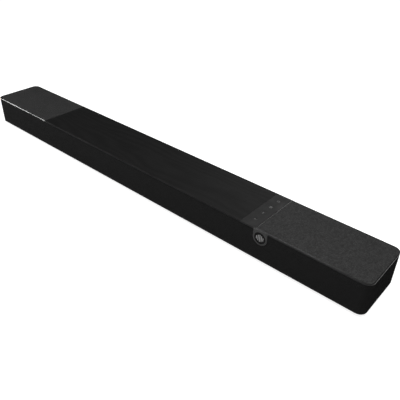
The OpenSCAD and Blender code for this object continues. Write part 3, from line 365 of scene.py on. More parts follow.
def buildEdgeWearAndPaintedHighlight():
    # 1 where an edge is worn bright, and where a painted highlight runs along it, from the angle between the true
    # and the rounded normal
    tree, w, given, out = newGroup(
        "edgeWearAndPaintedHighlight",
        [
            ("Vector", "NodeSocketVector", None),
            ("Width", "NodeSocketFloat", 0.0006),
            ("Amount", "NodeSocketFloat", 0.5),
            # Evenness lifts the patchy mask towards even, so that the mask draws an unbroken painted highlight
            # line
            ("Evenness", "NodeSocketFloat", 0.0),
        ],
        [("Mask", "NodeSocketFloat")],
    )
    rounded = w.add("ShaderNodeBevel", samples=4)
    w.join(given["Width"], rounded.inputs["Radius"])
    geometry = w.add("ShaderNodeNewGeometry")
    facing = w.add("ShaderNodeVectorMath", operation="DOT_PRODUCT")
    w.join(rounded.outputs["Normal"], facing.inputs[0])
    w.join(geometry.outputs["True Normal"], facing.inputs[1])
    edge = w.remap(facing.outputs["Value"], 0.995, 0.80)
    patchy = w.remap(w.noise(given["Vector"], 130.0, 4.0, 0.6), 0.35, 0.65)
    even = w.math("MAXIMUM", patchy, given["Evenness"])
    w.join(w.math("MULTIPLY", w.math("MULTIPLY", edge, even), given["Amount"], True), out["Mask"])
    return tree


def buildDust():
    # settles on what faces up, in specks and a thin film
    tree, w, given, out = newGroup(
        "dust",
        [("Vector", "NodeSocketVector", None), ("Amount", "NodeSocketFloat", 0.2)],
        [("Mask", "NodeSocketFloat")],
    )
    geometry = w.add("ShaderNodeNewGeometry")
    split = w.add("ShaderNodeSeparateXYZ")
    w.join(geometry.outputs["True Normal"], split.inputs[0])
    upward = w.remap(split.outputs["Z"], 0.3, 0.95)
    specks = w.remap(w.noise(given["Vector"], 1100.0, 2.0), 0.71, 0.77)
    film = w.remap(w.noise(given["Vector"], 22.0, 5.0, 0.6), 0.35, 0.75, 0.0, 0.12)
    both = w.math("MAXIMUM", specks, film)
    w.join(w.math("MULTIPLY", w.math("MULTIPLY", both, upward), given["Amount"], True), out["Mask"])
    return tree


def buildBrushing():
    # fine scratches along X
    tree, w, given, out = newGroup(
        "brushing",
        [("Vector", "NodeSocketVector", None), ("Lines Per Metre", "NodeSocketFloat", 5000.0)],
        [("Height", "NodeSocketFloat"), ("Shade", "NodeSocketFloat")],
    )
    lines = w.noise(w.stretch(given["Vector"], (0.02, 1.0, 1.0)), given["Lines Per Metre"], 2.0, 0.6)
    w.join(lines, out["Height"])
    w.join(w.remap(lines, 0.3, 0.7, 0.35, 0.65), out["Shade"])
    return tree


groups = {
    "mouldedGrain": buildMouldedGrain(),
    "clothWeave": buildClothWeave(),
    "woodGrain": buildWoodGrain(),
    "edgeWearAndPaintedHighlight": buildEdgeWearAndPaintedHighlight(),
    "dust": buildDust(),
    "brushing": buildBrushing(),
}
print("shader groups built:", len(groups))


# materials


def grey(level, warm=0.0):
    return (level * (1 + warm), level, level * (1 - warm), 1)


def startMaterial(name):
    material = bpy.data.materials.new(name)
    material.use_nodes = True
    tree = material.node_tree
    tree.nodes.clear()
    w = Wiring(tree)
    shader = w.add("ShaderNodeBsdfPrincipled")
    w.join(shader.outputs[0], w.add("ShaderNodeOutputMaterial").inputs["Surface"])
    return material, w, shader


def placeGroup(w, name, vector, **values):
    node = w.add("ShaderNodeGroup")
    node.node_tree = groups[name]
    w.join(vector, node.inputs["Vector"])
    for key, value in values.items():
        node.inputs[key.replace("_", " ")].default_value = value
    return node.outputs


def surfaceVector(w, source):
    place = w.add("ShaderNodeTexCoord")
    return place.outputs["UV" if source == "uv" else "Object"]


def addBump(w, shader, height, distance, strength):
    bump = w.add("ShaderNodeBump")
    bump.inputs["Distance"].default_value = distance
    bump.inputs["Strength"].default_value = strength
    w.join(height, bump.inputs["Height"])
    w.join(bump.outputs["Normal"], shader.inputs["Normal"])


def setShader(shader, metallic=0.0, specular=0.5, coat=0.0):
    shader.inputs["Metallic"].default_value = metallic
    shader.inputs["Specular IOR Level"].default_value = specular
    shader.inputs["Coat Weight"].default_value = coat
    shader.inputs["Coat Roughness"].default_value = 0.1


def plasticMaterial(
    name, dark, light, roughness, grains=1800.0, bump=0.00004, strength=0.25, wearAndHighlight=0.25, dust=0.12,
    wearAndHighlightGain=2.6, highlightEvenness=0.0, **finish
):
    material, w, shader = startMaterial(name)
    vector = surfaceVector(w, "object")
    grain = placeGroup(w, "mouldedGrain", vector, Grains_Per_Metre=grains, Unevenness=0.5)
    wornAndLitEdge = placeGroup(w, "edgeWearAndPaintedHighlight", vector, Width=0.0007, Amount=wearAndHighlight, Evenness=highlightEvenness)
    dusty = placeGroup(w, "dust", vector, Amount=dust)
    colour = w.mixColour(grain["Shade"], dark, light)
    # edges lightened by the mask: worn edges, and a painted highlight where the amount and gain are high
    colour = w.mixColour(wornAndLitEdge["Mask"], colour, tuple(min(1, c * wearAndHighlightGain) for c in light[:3]) + (1,))
    colour = w.mixColour(dusty["Mask"], colour, grey(0.22, 0.04))
    w.join(colour, shader.inputs["Base Color"])
    rough = w.math("ADD", grain["Roughness Shift"], roughness)
    w.join(w.math("SUBTRACT", rough, w.math("MULTIPLY", wornAndLitEdge["Mask"], 0.15), True), shader.inputs["Roughness"])
    addBump(w, shader, grain["Height"], bump, strength)
    setShader(shader, **finish)
    return material


def clothMaterial(
    name, dark, light, threads, slub, fleck, melange, roughness, source="object", bump=0.00025, dust=0.08,
    **finish
):
    material, w, shader = startMaterial(name)
    vector = surfaceVector(w, source)
    weave = placeGroup(
        w, "clothWeave", vector, Threads_Per_Metre=threads, Slub=slub, Fleck=fleck, Melange=melange,
    )
    dusty = placeGroup(w, "dust", surfaceVector(w, "object"), Amount=dust)
    colour = w.mixColour(weave["Shade"], dark, light)
    # dips between threads darkened: painted shade
    colour = w.mixColour(weave["Gap"], colour, tuple(c * 0.35 for c in dark[:3]) + (1,))
    colour = w.mixColour(dusty["Mask"], colour, grey(0.20, 0.03))
    w.join(colour, shader.inputs["Base Color"])
    w.join(w.math("MULTIPLY_ADD", weave["Shade"], roughness), shader.inputs["Roughness"])
    addBump(w, shader, weave["Height"], bump, 0.6)
    setShader(shader, **finish)
    return material


def woodMaterial(name, dark, light, roughness, **finish):
    material, w, shader = startMaterial(name)
    vector = surfaceVector(w, "object")
    grain = placeGroup(w, "woodGrain", vector, Band_Density=55.0, Pores=0.6)
    wornAndLitEdge = placeGroup(w, "edgeWearAndPaintedHighlight", vector, Width=0.0007, Amount=0.7)
    dusty = placeGroup(w, "dust", vector, Amount=0.06)
    colour = w.mixColour(grain["Shade"], dark, light)
    # edges lightened to grey by the edge mask: a painted highlight along the panel's edges
    colour = w.mixColour(wornAndLitEdge["Mask"], colour, grey(0.06))
    colour = w.mixColour(dusty["Mask"], colour, grey(0.16, 0.03))
    w.join(colour, shader.inputs["Base Color"])
    w.join(w.math("ADD", grain["Roughness Shift"], roughness, True), shader.inputs["Roughness"])
    addBump(w, shader, grain["Height"], 0.00008, 0.5)
    setShader(shader, **finish)
    return material


def metalMaterial(
    name, colour, roughness, brushed=0.3, lines=5000.0, wearAndHighlight=0.2, dust=0.05, metallic=1.0, **finish
):
    material, w, shader = startMaterial(name)
    vector = surfaceVector(w, "object")
    brush = placeGroup(w, "brushing", vector, Lines_Per_Metre=lines)
    wornAndLitEdge = placeGroup(w, "edgeWearAndPaintedHighlight", vector, Width=0.0004, Amount=wearAndHighlight)
    dusty = placeGroup(w, "dust", vector, Amount=dust)
    darker = tuple(c * 0.72 for c in colour[:3]) + (1,)
    shade = w.mixColour(brush["Shade"], darker, colour)
    shade = w.mixColour(wornAndLitEdge["Mask"], shade, tuple(min(1, c * 1.5 + 0.05) for c in colour[:3]) + (1,))
    shade = w.mixColour(dusty["Mask"], shade, grey(0.25, 0.04))
    w.join(shade, shader.inputs["Base Color"])
    uneven = w.math("SUBTRACT", brush["Shade"], 0.5)
    w.join(w.math("MULTIPLY_ADD", uneven, brushed, c=roughness), shader.inputs["Roughness"])
    addBump(w, shader, brush["Height"], 0.00002, 0.2)
    setShader(shader, metallic=metallic, **finish)
    return material


materials = {
    "housing": plasticMaterial("housingPlastic", grey(0.0105), grey(0.0165), 0.62, specular=0.32, dust=0.10),
    "inner": plasticMaterial("innerPlastic", grey(0.012), grey(0.020), 0.55, specular=0.3),
    "endCloth": clothMaterial("endCloth", grey(0.008), grey(0.044), 950.0, 0.5, 0.55, 2.6, 0.62, specular=0.08),
    "frontCloth": clothMaterial(
        "frontCloth", grey(0.0075), grey(0.0170), 1250.0, 0.25, 0.25, 0.9, 0.66, source="uv", bump=0.00015,
        dust=0.0, specular=0.0,
    ),
    # the rims' edges get a strong, even lightening from the edge mask: a painted highlight line along them
    "rim": plasticMaterial(
        "rimSatin", grey(0.010), grey(0.014), 0.20, grains=2600.0, strength=0.06, wearAndHighlight=0.8, wearAndHighlightGain=2.0,
        highlightEvenness=0.6, dust=0.04, specular=0.2,
    ),
    "ebony": woodMaterial("ebonyGrain", grey(0.0040), grey(0.0110), 0.52, specular=0.07),
    # the strip's edges get a strong, even lightening from the edge mask: a painted highlight along them
    "strip": plasticMaterial(
        "stripSatin", grey(0.0105), grey(0.014), 0.50, grains=3000.0, strength=0.12, wearAndHighlight=0.8, wearAndHighlightGain=3.5,
        highlightEvenness=0.7, dust=0.03, specular=0.11,
    ),
    "badge": metalMaterial("badgeBrushed", grey(0.070), 0.36, specular=0.5, lines=7000.0),
    "disc": plasticMaterial(
        "discGloss", grey(0.003), grey(0.0045), 0.24, strength=0.03, wearAndHighlight=0.0, dust=0.03, specular=0.05,
    ),
    "bright": metalMaterial("brightTrim", grey(0.30), 0.26, brushed=0.12),
    "icon": plasticMaterial("iconInk", grey(0.125), grey(0.150), 0.55, wearAndHighlight=0.0, dust=0.0, specular=0.3),
    "rubber": plasticMaterial(
        "footRubber", grey(0.010), grey(0.020), 0.86, grains=900.0, bump=0.00008, strength=0.5, wearAndHighlight=0.3,
        dust=0.2, specular=0.25,
    ),
    "brass": metalMaterial("insertBrass", (0.62, 0.46, 0.20, 1), 0.30, brushed=0.2),
    "screw": metalMaterial("screwSteel", grey(0.10), 0.38, brushed=0.2, wearAndHighlight=0.5),
    "socketBlack": plasticMaterial("socketPlastic", grey(0.008), grey(0.014), 0.42, wearAndHighlight=0.2, specular=0.4),
    "nickel": metalMaterial("socketNickel", (0.55, 0.54, 0.52, 1), 0.28, brushed=0.2, wearAndHighlight=0.3),
    "washer": plasticMaterial(
        "washerPlastic", (0.10, 0.018, 0.085, 1), (0.14, 0.026, 0.12, 1), 0.4, wearAndHighlight=0.1, specular=0.4,
    ),
    "base": plasticMaterial(
        "basePlastic", grey(0.0050), grey(0.0085), 0.66, wearAndHighlight=0.15, dust=0.06, specular=0.10,
    ),
    "gold": metalMaterial("contactGold", (0.83, 0.60, 0.24, 1), 0.25, brushed=0.1),
    "board": plasticMaterial(
        "solderMask", (0.010, 0.075, 0.035, 1), (0.018, 0.120, 0.055, 1), 0.30, wearAndHighlight=0.0, specular=0.5,
        coat=0.3,
    ),
    "sink": metalMaterial("heatSink", grey(0.42), 0.35, lines=3000.0),
    "ferrite": plasticMaterial("ferriteRing", grey(0.03), grey(0.06), 0.5, wearAndHighlight=0.4, specular=0.5),
    "sleeve": plasticMaterial(
        "capacitorSleeve", (0.010, 0.012, 0.030, 1), (0.015, 0.018, 0.045, 1), 0.28, wearAndHighlight=0.0, specular=0.5,
    ),
    "lead": plasticMaterial("leadSheath", grey(0.012), grey(0.018), 0.5, wearAndHighlight=0.0, dust=0.0, specular=0.4),
    "dome": metalMaterial("domeMetal", (0.55, 0.56, 0.58, 1), 0.3),
    "basket": plasticMaterial("basketPaint", grey(0.012), grey(0.02), 0.4, wearAndHighlight=0.5, specular=0.5),
    "roll": plasticMaterial("surroundRubber", grey(0.012), grey(0.018), 0.6, wearAndHighlight=0.0, specular=0.35),
    "cone": clothMaterial("coneFibre", grey(0.05), grey(0.12), 700.0, 0.8, 0.6, 0.8, 0.6, specular=0.3),
}

nodeFinish = {
    "housing": ["rear_cover", "io_bay"],
    "base": ["lower_shell"],
    "inner": [
        "front_baffle", "left_driver_tray", "right_driver_tray", "centre_deck",
        "chamber_bulkheads", "left_bass_port", "right_bass_port",
    ],
    "rim": ["left_grille_frame", "right_grille_frame"],
    "ebony": ["centre_top_panel"],
    "strip": ["control_panel", "power_button", "source_button", "volume_up_button", "volume_down_button"],
    "brass": ["wall_mount_inserts"],
    "screw": ["case_screws", "driver_screws"],
    "socketBlack": ["mains_inlet", "optical_socket", "tweeter_horn"],
    "nickel": ["hdmi_socket", "usb_socket"],
    "bright": ["subwoofer_jack"],
    "board": ["main_board", "power_supply_board", "control_board", "display_module"],
    "sink": ["amplifier_heat_sink"],
    "ferrite": ["power_transformer", "tweeter_motor", "small_driver_motors", "woofer_motors"],
    "sleeve": ["smoothing_capacitors"],
    "disc": ["display_lens"],
    "lead": ["speaker_leads", "board_leads"],
    "dome": ["tweeter_dome"],
    "basket": ["small_driver_frames", "woofer_frames"],
    "roll": ["small_driver_suspensions", "woofer_suspensions"],
    "cone": [n for n in nodes if n.endswith("_cone")],
}
for finish, names in nodeFinish.items():
    for name in names:
        nodes[name].data.materials.clear()
        nodes[name].data.materials.append(materials[finish])
print("materials built:", len(materials))

# front cloth, wrapped round both ends
frontFacts = {
    "cornerRadius": 15 * mm,
    "cornerSteps": 10,
    "thickness": 0.9 * mm,
    "edgeRound": 0.35 * mm,
    "lengthCuts": 8,
    "flat": (1.32, 0.068),
}


def selectEdgeAt(obj, x=None, y=None):
    def test(a, b):
        return all((x is None or abs(p.x - x) < near) and (y is None or abs(p.y - y) < near) for p in (a, b))

    editWith(obj, "EDGE", test)


def buildFrontCloth(facts):
    low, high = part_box("front_grille")
    radius = facts["cornerRadius"]
    deselectAll()
    bpy.ops.mesh.primitive_plane_add(
        size=1, rotation=(0, math.pi / 2, 0),
        location=(low.x, (low.y + radius + high.y) / 2, (low.z + high.z) / 2),
    )
    cloth = bpy.context.object
    cloth.name = "front_cloth"
    cloth.scale = (high.z - low.z, high.y - low.y - radius, 1)
    applyPlace(cloth)
    # round the left front corner, along the front, round the right one, and back along the end
    selectEdgeAt(cloth, x=low.x, y=low.y + radius)
    bpy.ops.mesh.spin(
        steps=facts["cornerSteps"], angle=-math.pi / 2, center=(low.x + radius, low.y + radius, 0),
        axis=(0, 0, 1),
    )
    leaveEdit()
    step = (high.x - low.x - 2 * radius) / facts["lengthCuts"]
    for i in range(facts["lengthCuts"]):
        selectEdgeAt(cloth, x=low.x + radius + i * step, y=low.y)
        bpy.ops.mesh.extrude_region_move(TRANSFORM_OT_translate={"value": (step, 0, 0)})
        leaveEdit()
    selectEdgeAt(cloth, x=high.x - radius, y=low.y)
    bpy.ops.mesh.spin(
        steps=facts["cornerSteps"], angle=-math.pi / 2, center=(high.x - radius, low.y + radius, 0),
        axis=(0, 0, 1),
    )
    leaveEdit()
    selectEdgeAt(cloth, x=high.x, y=low.y + radius)
    bpy.ops.mesh.extrude_region_move(TRANSFORM_OT_translate={"value": (0, high.y - low.y - radius, 0)})
    bpy.ops.mesh.select_all(action="SELECT")
    bpy.ops.mesh.remove_doubles(threshold=hair)
    bpy.ops.mesh.normals_make_consistent(inside=False)
    leaveEdit()
    # distance along the wrap and height, in metres, for the weave
    layer = cloth.data.uv_layers.new(name="wrap")
    for loop in cloth.data.loops:
        point = cloth.data.vertices[loop.vertex_index].co
        layer.data[loop.index].uv = (wrapLength(point, low, high, radius), point.z)
    applyModifier(cloth, "SOLIDIFY", "cloth", thickness=facts["thickness"], offset=-1)
    applyModifier(
        cloth, "BEVEL", "hem", width=facts["edgeRound"], segments=2, limit_method="ANGLE",
        angle_limit=math.radians(60),
    )
    return cloth


def wrapLength(point, low, high, radius):
    quarter = math.pi / 2 * radius
    side = high.y - low.y - radius
    if point.y > low.y + radius:
        walked = high.y - point.y
        return walked if point.x < 0 else 2 * side + 2 * quarter + (high.x - low.x - 2 * radius) - walked
    if abs(point.x) < high.x - radius:
        return side + quarter + point.x - low.x - radius
    middle = Vector((math.copysign(high.x - radius, point.x), low.y + radius, 0))
    angle = math.atan2(middle.y - point.y, abs(point.x) - middle.x * math.copysign(1, point.x))
    if point.x < 0:
        return side + angle * radius
    return side + 2 * quarter + (high.x - low.x - 2 * radius) - angle * radius


frontCloth = buildFrontCloth(frontFacts)
finishPiece(frontCloth, "housing", materials["frontCloth"], 50)
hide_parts("front_grille")
print("front cloth wrapped")

# end cloths
endFacts = {
    "cornerRadius": 13.3 * mm,
    "cornerSteps": 10,
    "rollWidth": 0.9 * mm,
    "rollDrop": 0.45 * mm,
    "thickness": 0.6 * mm,
    "rollSteps": ((0.25, 0.62), (0.35, 0.28), (0.40, 0.10)),
    "flat": (0.2254, 0.1234),
}


def buildEndCloth(name, side, facts):
    low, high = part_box(name)
    deselectAll()
    bpy.ops.mesh.primitive_plane_add(size=1, location=((low.x + high.x) / 2, (low.y + high.y) / 2, high.z))
    cloth = bpy.context.object
    cloth.name = name.replace("grille_cloth", "end_cloth")
    cloth.scale = (high.x - low.x, high.y - low.y, 1)
    applyPlace(cloth)
    outer = high.x if side > 0 else low.x
    editWith(cloth, "VERT", lambda p: abs(p.x - outer) < 0.0001)
    bpy.ops.mesh.bevel(
        offset=facts["cornerRadius"], segments=facts["cornerSteps"], affect="VERTICES", profile=0.5,
    )
    # the edge rolls down into the rim in three steps
    bpy.ops.mesh.select_all(action="SELECT")
    for share, drop in facts["rollSteps"]:
        bpy.ops.mesh.inset(thickness=facts["rollWidth"] * share, depth=0)
        bpy.ops.transform.translate(value=(0, 0, facts["rollDrop"] * drop))
    bpy.ops.mesh.select_all(action="SELECT")
    bpy.ops.transform.translate(value=(0, 0, -facts["rollDrop"]))
    leaveEdit()
    applyModifier(cloth, "SOLIDIFY", "cloth", thickness=facts["thickness"], offset=-1)
    return cloth


for name, side in (("left_grille_cloth", -1), ("right_grille_cloth", 1)):
    endCloth = buildEndCloth(name, side, endFacts)
    finishPiece(endCloth, "housing", materials["endCloth"], 60)
    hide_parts(name)
print("end cloths stretched")

# badge
badgeFacts = {
    "bevel": 0.35 * mm,
    "discDome": 0.12 * mm,
    "domeSteps": ((0.06, 0.45), (0.22, 0.35), (0.40, 0.20)),
    "discFit": 0.15 * mm,
    "barBevel": 0.06 * mm,
    "sides": 64,
}


def buildBadge(facts):
    low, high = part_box("badge_plate")
    discLow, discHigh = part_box("badge_disc")
    radius = (high.x - low.x) / 2
    middle = Vector(((low.x + high.x) / 2, 0, low.z + radius))
    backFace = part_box("front_grille")[0].y
    deselectAll()
    bpy.ops.mesh.primitive_circle_add(
        vertices=facts["sides"], radius=radius, fill_type="NGON", rotation=(math.pi / 2, 0, 0),
        location=(middle.x, backFace, middle.z),
    )
    plate = bpy.context.object
    plate.name = "badge_face"
    applyPlace(plate)
    bpy.ops.object.mode_set(mode="EDIT")
    bpy.ops.mesh.select_all(action="SELECT")
    bpy.ops.mesh.bisect(plane_co=middle, plane_no=(0, 0, 1), clear_outer=True, use_fill=False)
    leaveEdit()
    editWith(plate, "EDGE", lambda a, b: abs(a.z - middle.z) < near and abs(b.z - middle.z) < near)
    bpy.ops.mesh.extrude_region_move(TRANSFORM_OT_translate={"value": (0, 0, high.z - middle.z)})
    bpy.ops.mesh.select_all(action="SELECT")
    bpy.ops.mesh.remove_doubles(threshold=hair)
    bpy.ops.mesh.extrude_region_move(TRANSFORM_OT_translate={"value": (0, low.y - backFace, 0)})
    bpy.ops.mesh.select_all(action="SELECT")
    bpy.ops.mesh.normals_make_consistent(inside=False)
    leaveEdit()

    def onFrontRim(a, b):
        return max(abs(a.y - low.y), abs(b.y - low.y)) < near and onOutline(a, b, middle, radius, high.z)

    bevelWhere(plate, onFrontRim, facts["bevel"])
    # recess for the disc
    cutter = addDisc(
        "recess", (middle.x, low.y - 0.5 * mm, middle.z), (discHigh.x - discLow.x) / 2 + facts["discFit"],
        discHigh.y - low.y + 0.5 * mm, "Y", facts["sides"],
    )
    applyModifier(plate, "BOOLEAN", "recess", operation="DIFFERENCE", object=cutter, solver="EXACT")
    bpy.data.objects.remove(cutter)
    return plate, middle, (discLow, discHigh)


def onOutline(a, b, middle, radius, top):
    def rim(p):
        if p.z >= middle.z - near:
            return abs(abs(p.x - middle.x) - radius) < 0.00003 or abs(p.z - top) < 0.00003
        return abs(math.hypot(p.x - middle.x, p.z - middle.z) - radius) < 0.0001

    return rim(a) and rim(b)


def buildDisc(facts, middle, corners):
    low, high = corners
    disc = addDisc(
        "badge_inlay", (middle.x, high.y, middle.z), (high.x - low.x) / 2, high.y - low.y - facts["discDome"],
        "-Y", facts["sides"],
    )
    front = min(p.co.y for p in disc.data.vertices)
    editWith(disc, "FACE", lambda face: face.center.y < front + hair)
    for share, rise in facts["domeSteps"]:
        bpy.ops.mesh.inset(thickness=(high.x - low.x) / 2 * share, depth=0)
        bpy.ops.transform.translate(value=(0, -facts["discDome"] * rise, 0))
    leaveEdit()
    return disc


def buildEmblem(facts):
    # five upright bars, taken from the places of the CAD emblem's own
    mesh = nodes["badge_emblem"].data
    low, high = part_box("badge_emblem")
    xs = sorted({round(p.co.x, 5) for p in mesh.vertices})
    bars = []
    for left, right in zip(xs[0::2], xs[1::2]):
        heights = [p.co.z for p in mesh.vertices if abs(p.co.x - left) < near]
        bar = addBox("bar", (left, low.y, min(heights)), (right, high.y, max(heights)))
        bevelWhere(bar, lambda a, b: a.y < low.y + near and b.y < low.y + near, facts["barBevel"], 2)
        bars.append(bar)
    return joinAll(bars, "badge_bars")


badgePlate, badgeMiddle, discCorners = buildBadge(badgeFacts)
finishPiece(badgePlate, "housing", materials["badge"])
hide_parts("badge_plate")
inlay = buildDisc(badgeFacts, badgeMiddle, discCorners)
finishPiece(inlay, "housing", materials["disc"])
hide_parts("badge_disc")
emblem = buildEmblem(badgeFacts)
finishPiece(emblem, "housing", materials["bright"])
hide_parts("badge_emblem")
print("badge built")

# button marks
markFacts = {
    "radius": 2.7 * mm,
    "line": 0.6 * mm,
    "proud": 0.06 * mm,
    "cuts": 2,
    "gap": 0.95 * mm,
    "stem": 1.1 * mm,
    "stemBack": 0.6,
    "frame": 0.85,
    "arrow": 0.5,
}


def ringMark(centre, facts, gap):
    # a flat ring, open at the back for the power sign
    inner = facts["radius"] - facts["line"]
    deselectAll()
    bpy.ops.mesh.primitive_circle_add(vertices=36, radius=inner, fill_type="NOTHING", location=centre)
    ring = bpy.context.object
    applyPlace(ring)
    bpy.ops.object.mode_set(mode="EDIT")
    bpy.ops.mesh.select_all(action="SELECT")
    bpy.ops.mesh.extrude_edges_move()
    grow = facts["radius"] / inner
    bpy.ops.transform.resize(value=(grow, grow, 1), center_override=centre)
    leaveEdit()
    if gap:
        editWith(ring, "FACE", lambda face: face.center.y > centre.y and abs(face.center.x - centre.x) < gap)
        bpy.ops.mesh.delete(type="FACE")
        leaveEdit()
    return ring


def crossMark(centre, facts, reach, arms):
    # a small square whose sides are drawn out into arms
    half = facts["line"] / 2
    deselectAll()
    bpy.ops.mesh.primitive_plane_add(size=2 * half, location=centre)
    cross = bpy.context.object
    applyPlace(cross)
    for dx, dy in arms:
        # only the square's own side on that arm, not the ends of the arms already drawn
        editWith(cross, "EDGE", lambda a, b: all(
            abs((p.x - centre.x) * dx + (p.y - centre.y) * dy - half) < hair
            and abs((p.x - centre.x) * dy + (p.y - centre.y) * dx) < 2 * half for p in (a, b)
        ))
        bpy.ops.mesh.extrude_region_move(
            TRANSFORM_OT_translate={"value": (dx * (reach - half), dy * (reach - half), 0)}
        )
        leaveEdit()
    return cross


def sourceMark(centre, facts):
    # an open frame with an arrow that points into it
    half = facts["radius"] * facts["frame"]
    deselectAll()
    bpy.ops.mesh.primitive_plane_add(size=2 * half, location=centre)
    box = bpy.context.object
    applyPlace(box)
    bpy.ops.object.mode_set(mode="EDIT")
    bpy.ops.mesh.select_all(action="SELECT")
    bpy.ops.mesh.inset(thickness=facts["line"])
    bpy.ops.mesh.delete(type="FACE")
    leaveEdit()
    deselectAll()
    bpy.ops.mesh.primitive_circle_add(
        vertices=3, radius=half * facts["arrow"], fill_type="NGON", location=centre, rotation=(0, 0, -math.pi / 2),
    )
    arrow = bpy.context.object
    applyPlace(arrow)
    return joinAll([box, arrow], "source_mark")


def layOnDish(mark, button, facts):
    # cut finely, drop on to the hollowed top, then give it the ink's thickness
    makeActive(mark)
    bpy.ops.object.mode_set(mode="EDIT")
    bpy.ops.mesh.select_all(action="SELECT")
    bpy.ops.mesh.subdivide(number_cuts=facts["cuts"])
    leaveEdit()
    for face in mark.data.polygons:
        if face.normal.z < 0:
            face.flip()
    applyModifier(
        mark, "SHRINKWRAP", "dish", target=nodes[button], wrap_method="PROJECT",
        use_project_z=True, use_negative_direction=True, use_positive_direction=True, offset=facts["proud"],
    )
    applyModifier(mark, "SOLIDIFY", "ink", thickness=2 * facts["proud"], offset=-1)


fourArms = ((1, 0), (-1, 0), (0, 1), (0, -1))
buttonMarks = {
    "power_button": "power",
    "source_button": "source",
    "volume_up_button": "plus",
    "volume_down_button": "minus",
}
for button, kind in buttonMarks.items():
    low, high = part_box(button)
    centre = Vector(((low.x + high.x) / 2, (low.y + high.y) / 2, high.z + 0.001))
    if kind == "power":
        stemPlace = centre + Vector((0, markFacts["radius"] * markFacts["stemBack"], 0))
        stem = crossMark(stemPlace, markFacts, markFacts["stem"], fourArms[2:])
        mark = joinAll([ringMark(centre, markFacts, markFacts["gap"]), stem], "power_mark")
    elif kind == "source":
        mark = sourceMark(centre, markFacts)
    else:
        mark = crossMark(centre, markFacts, markFacts["radius"], fourArms if kind == "plus" else fourArms[:2])
    mark.name = kind + "_mark"
    layOnDish(mark, button, markFacts)
    finishPiece(mark, button + "_body", materials["icon"])
print("button marks set")

# socket contacts, and the washer of the phono jack
contactFacts = {
    "usb": {"count": 4, "pitch": 2.4 * mm, "wide": 1.3 * mm, "under": -0.1 * mm},
    "hdmi": {"count": 9, "pitch": 1.1 * mm, "wide": 0.55 * mm, "under": -0.6 * mm},
    "shellHalf": 2.9 * mm,
    "tongueBack": 1.5 * mm,
    "length": 7 * mm,
    "tall": 0.25 * mm,
    "washerOut": 7.4 * mm,
    "washerIn": 6.1 * mm,
    "washerThick": 0.7 * mm,
    "washerRound": 0.25 * mm,
}


def contactRow(name, socket, row, facts):
    # gold fingers under the tongue, the first modelled and the rest copied
    low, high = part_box(socket)
    tip = high.y - facts["tongueBack"] - 0.5 * mm
    bottom = high.z - facts["shellHalf"] + row["under"] - facts["tall"] * 0.5
    start = (low.x + high.x) / 2 - row["pitch"] * (row["count"] - 1) / 2
    half = row["wide"] / 2
    finger = addBox(
        name, (start - half, tip - facts["length"], bottom), (start + half, tip, bottom + facts["tall"]),
    )
    bevelWhere(
        finger, lambda a, b: min(a.y, b.y) > tip - hair and max(a.z, b.z) < bottom + hair,
        facts["tall"] * 0.4, 2,
    )
    others = [copyPiece(finger, name, (row["pitch"] * i, 0, 0)) for i in range(1, row["count"])]
    return joinAll([finger] + others, name)


for kind in ("usb", "hdmi"):
    fingers = contactRow(kind + "_contacts", kind + "_socket", contactFacts[kind], contactFacts)
    finishPiece(fingers, "housing", materials["gold"])


def buildJackWasher(facts):
    # coloured insulator behind the phono collar
    low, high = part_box("subwoofer_jack")
    collar = [p.co for p in nodes["subwoofer_jack"].data.vertices if p.co.y > high.y - 0.2 * mm]
    x = (min(p.x for p in collar) + max(p.x for p in collar)) / 2
    z = (min(p.z for p in collar) + max(p.z for p in collar)) / 2
    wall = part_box("mains_inlet")[1].y - 1.5 * mm
    outer = facts["washerOut"]
    washer = addDisc("jack_washer", (x, wall - 0.01 * mm, z), outer, facts["washerThick"], "Y")
    cutter = addDisc("hole", (x, wall - 0.002, z), facts["washerIn"], 0.006, "Y")
    applyModifier(washer, "BOOLEAN", "hole", operation="DIFFERENCE", object=cutter, solver="EXACT")
    bpy.data.objects.remove(cutter)
    front = max(p.co.y for p in washer.data.vertices)
    bevelWhere(
        washer, lambda a, b: min(a.y, b.y) > front - hair and math.hypot(a.x - x, a.z - z) > outer - 0.00005,
        facts["washerRound"],
    )
    return washer


washer = buildJackWasher(contactFacts)
finishPiece(washer, "housing", materials["washer"])
print("socket details set")

# feet
footFacts = {
    "soleRound": 1.2 * mm,
    "grooves": 5,
    "grooveDepth": 0.8 * mm,
    "grooveWidth": 2.0 * mm,
}


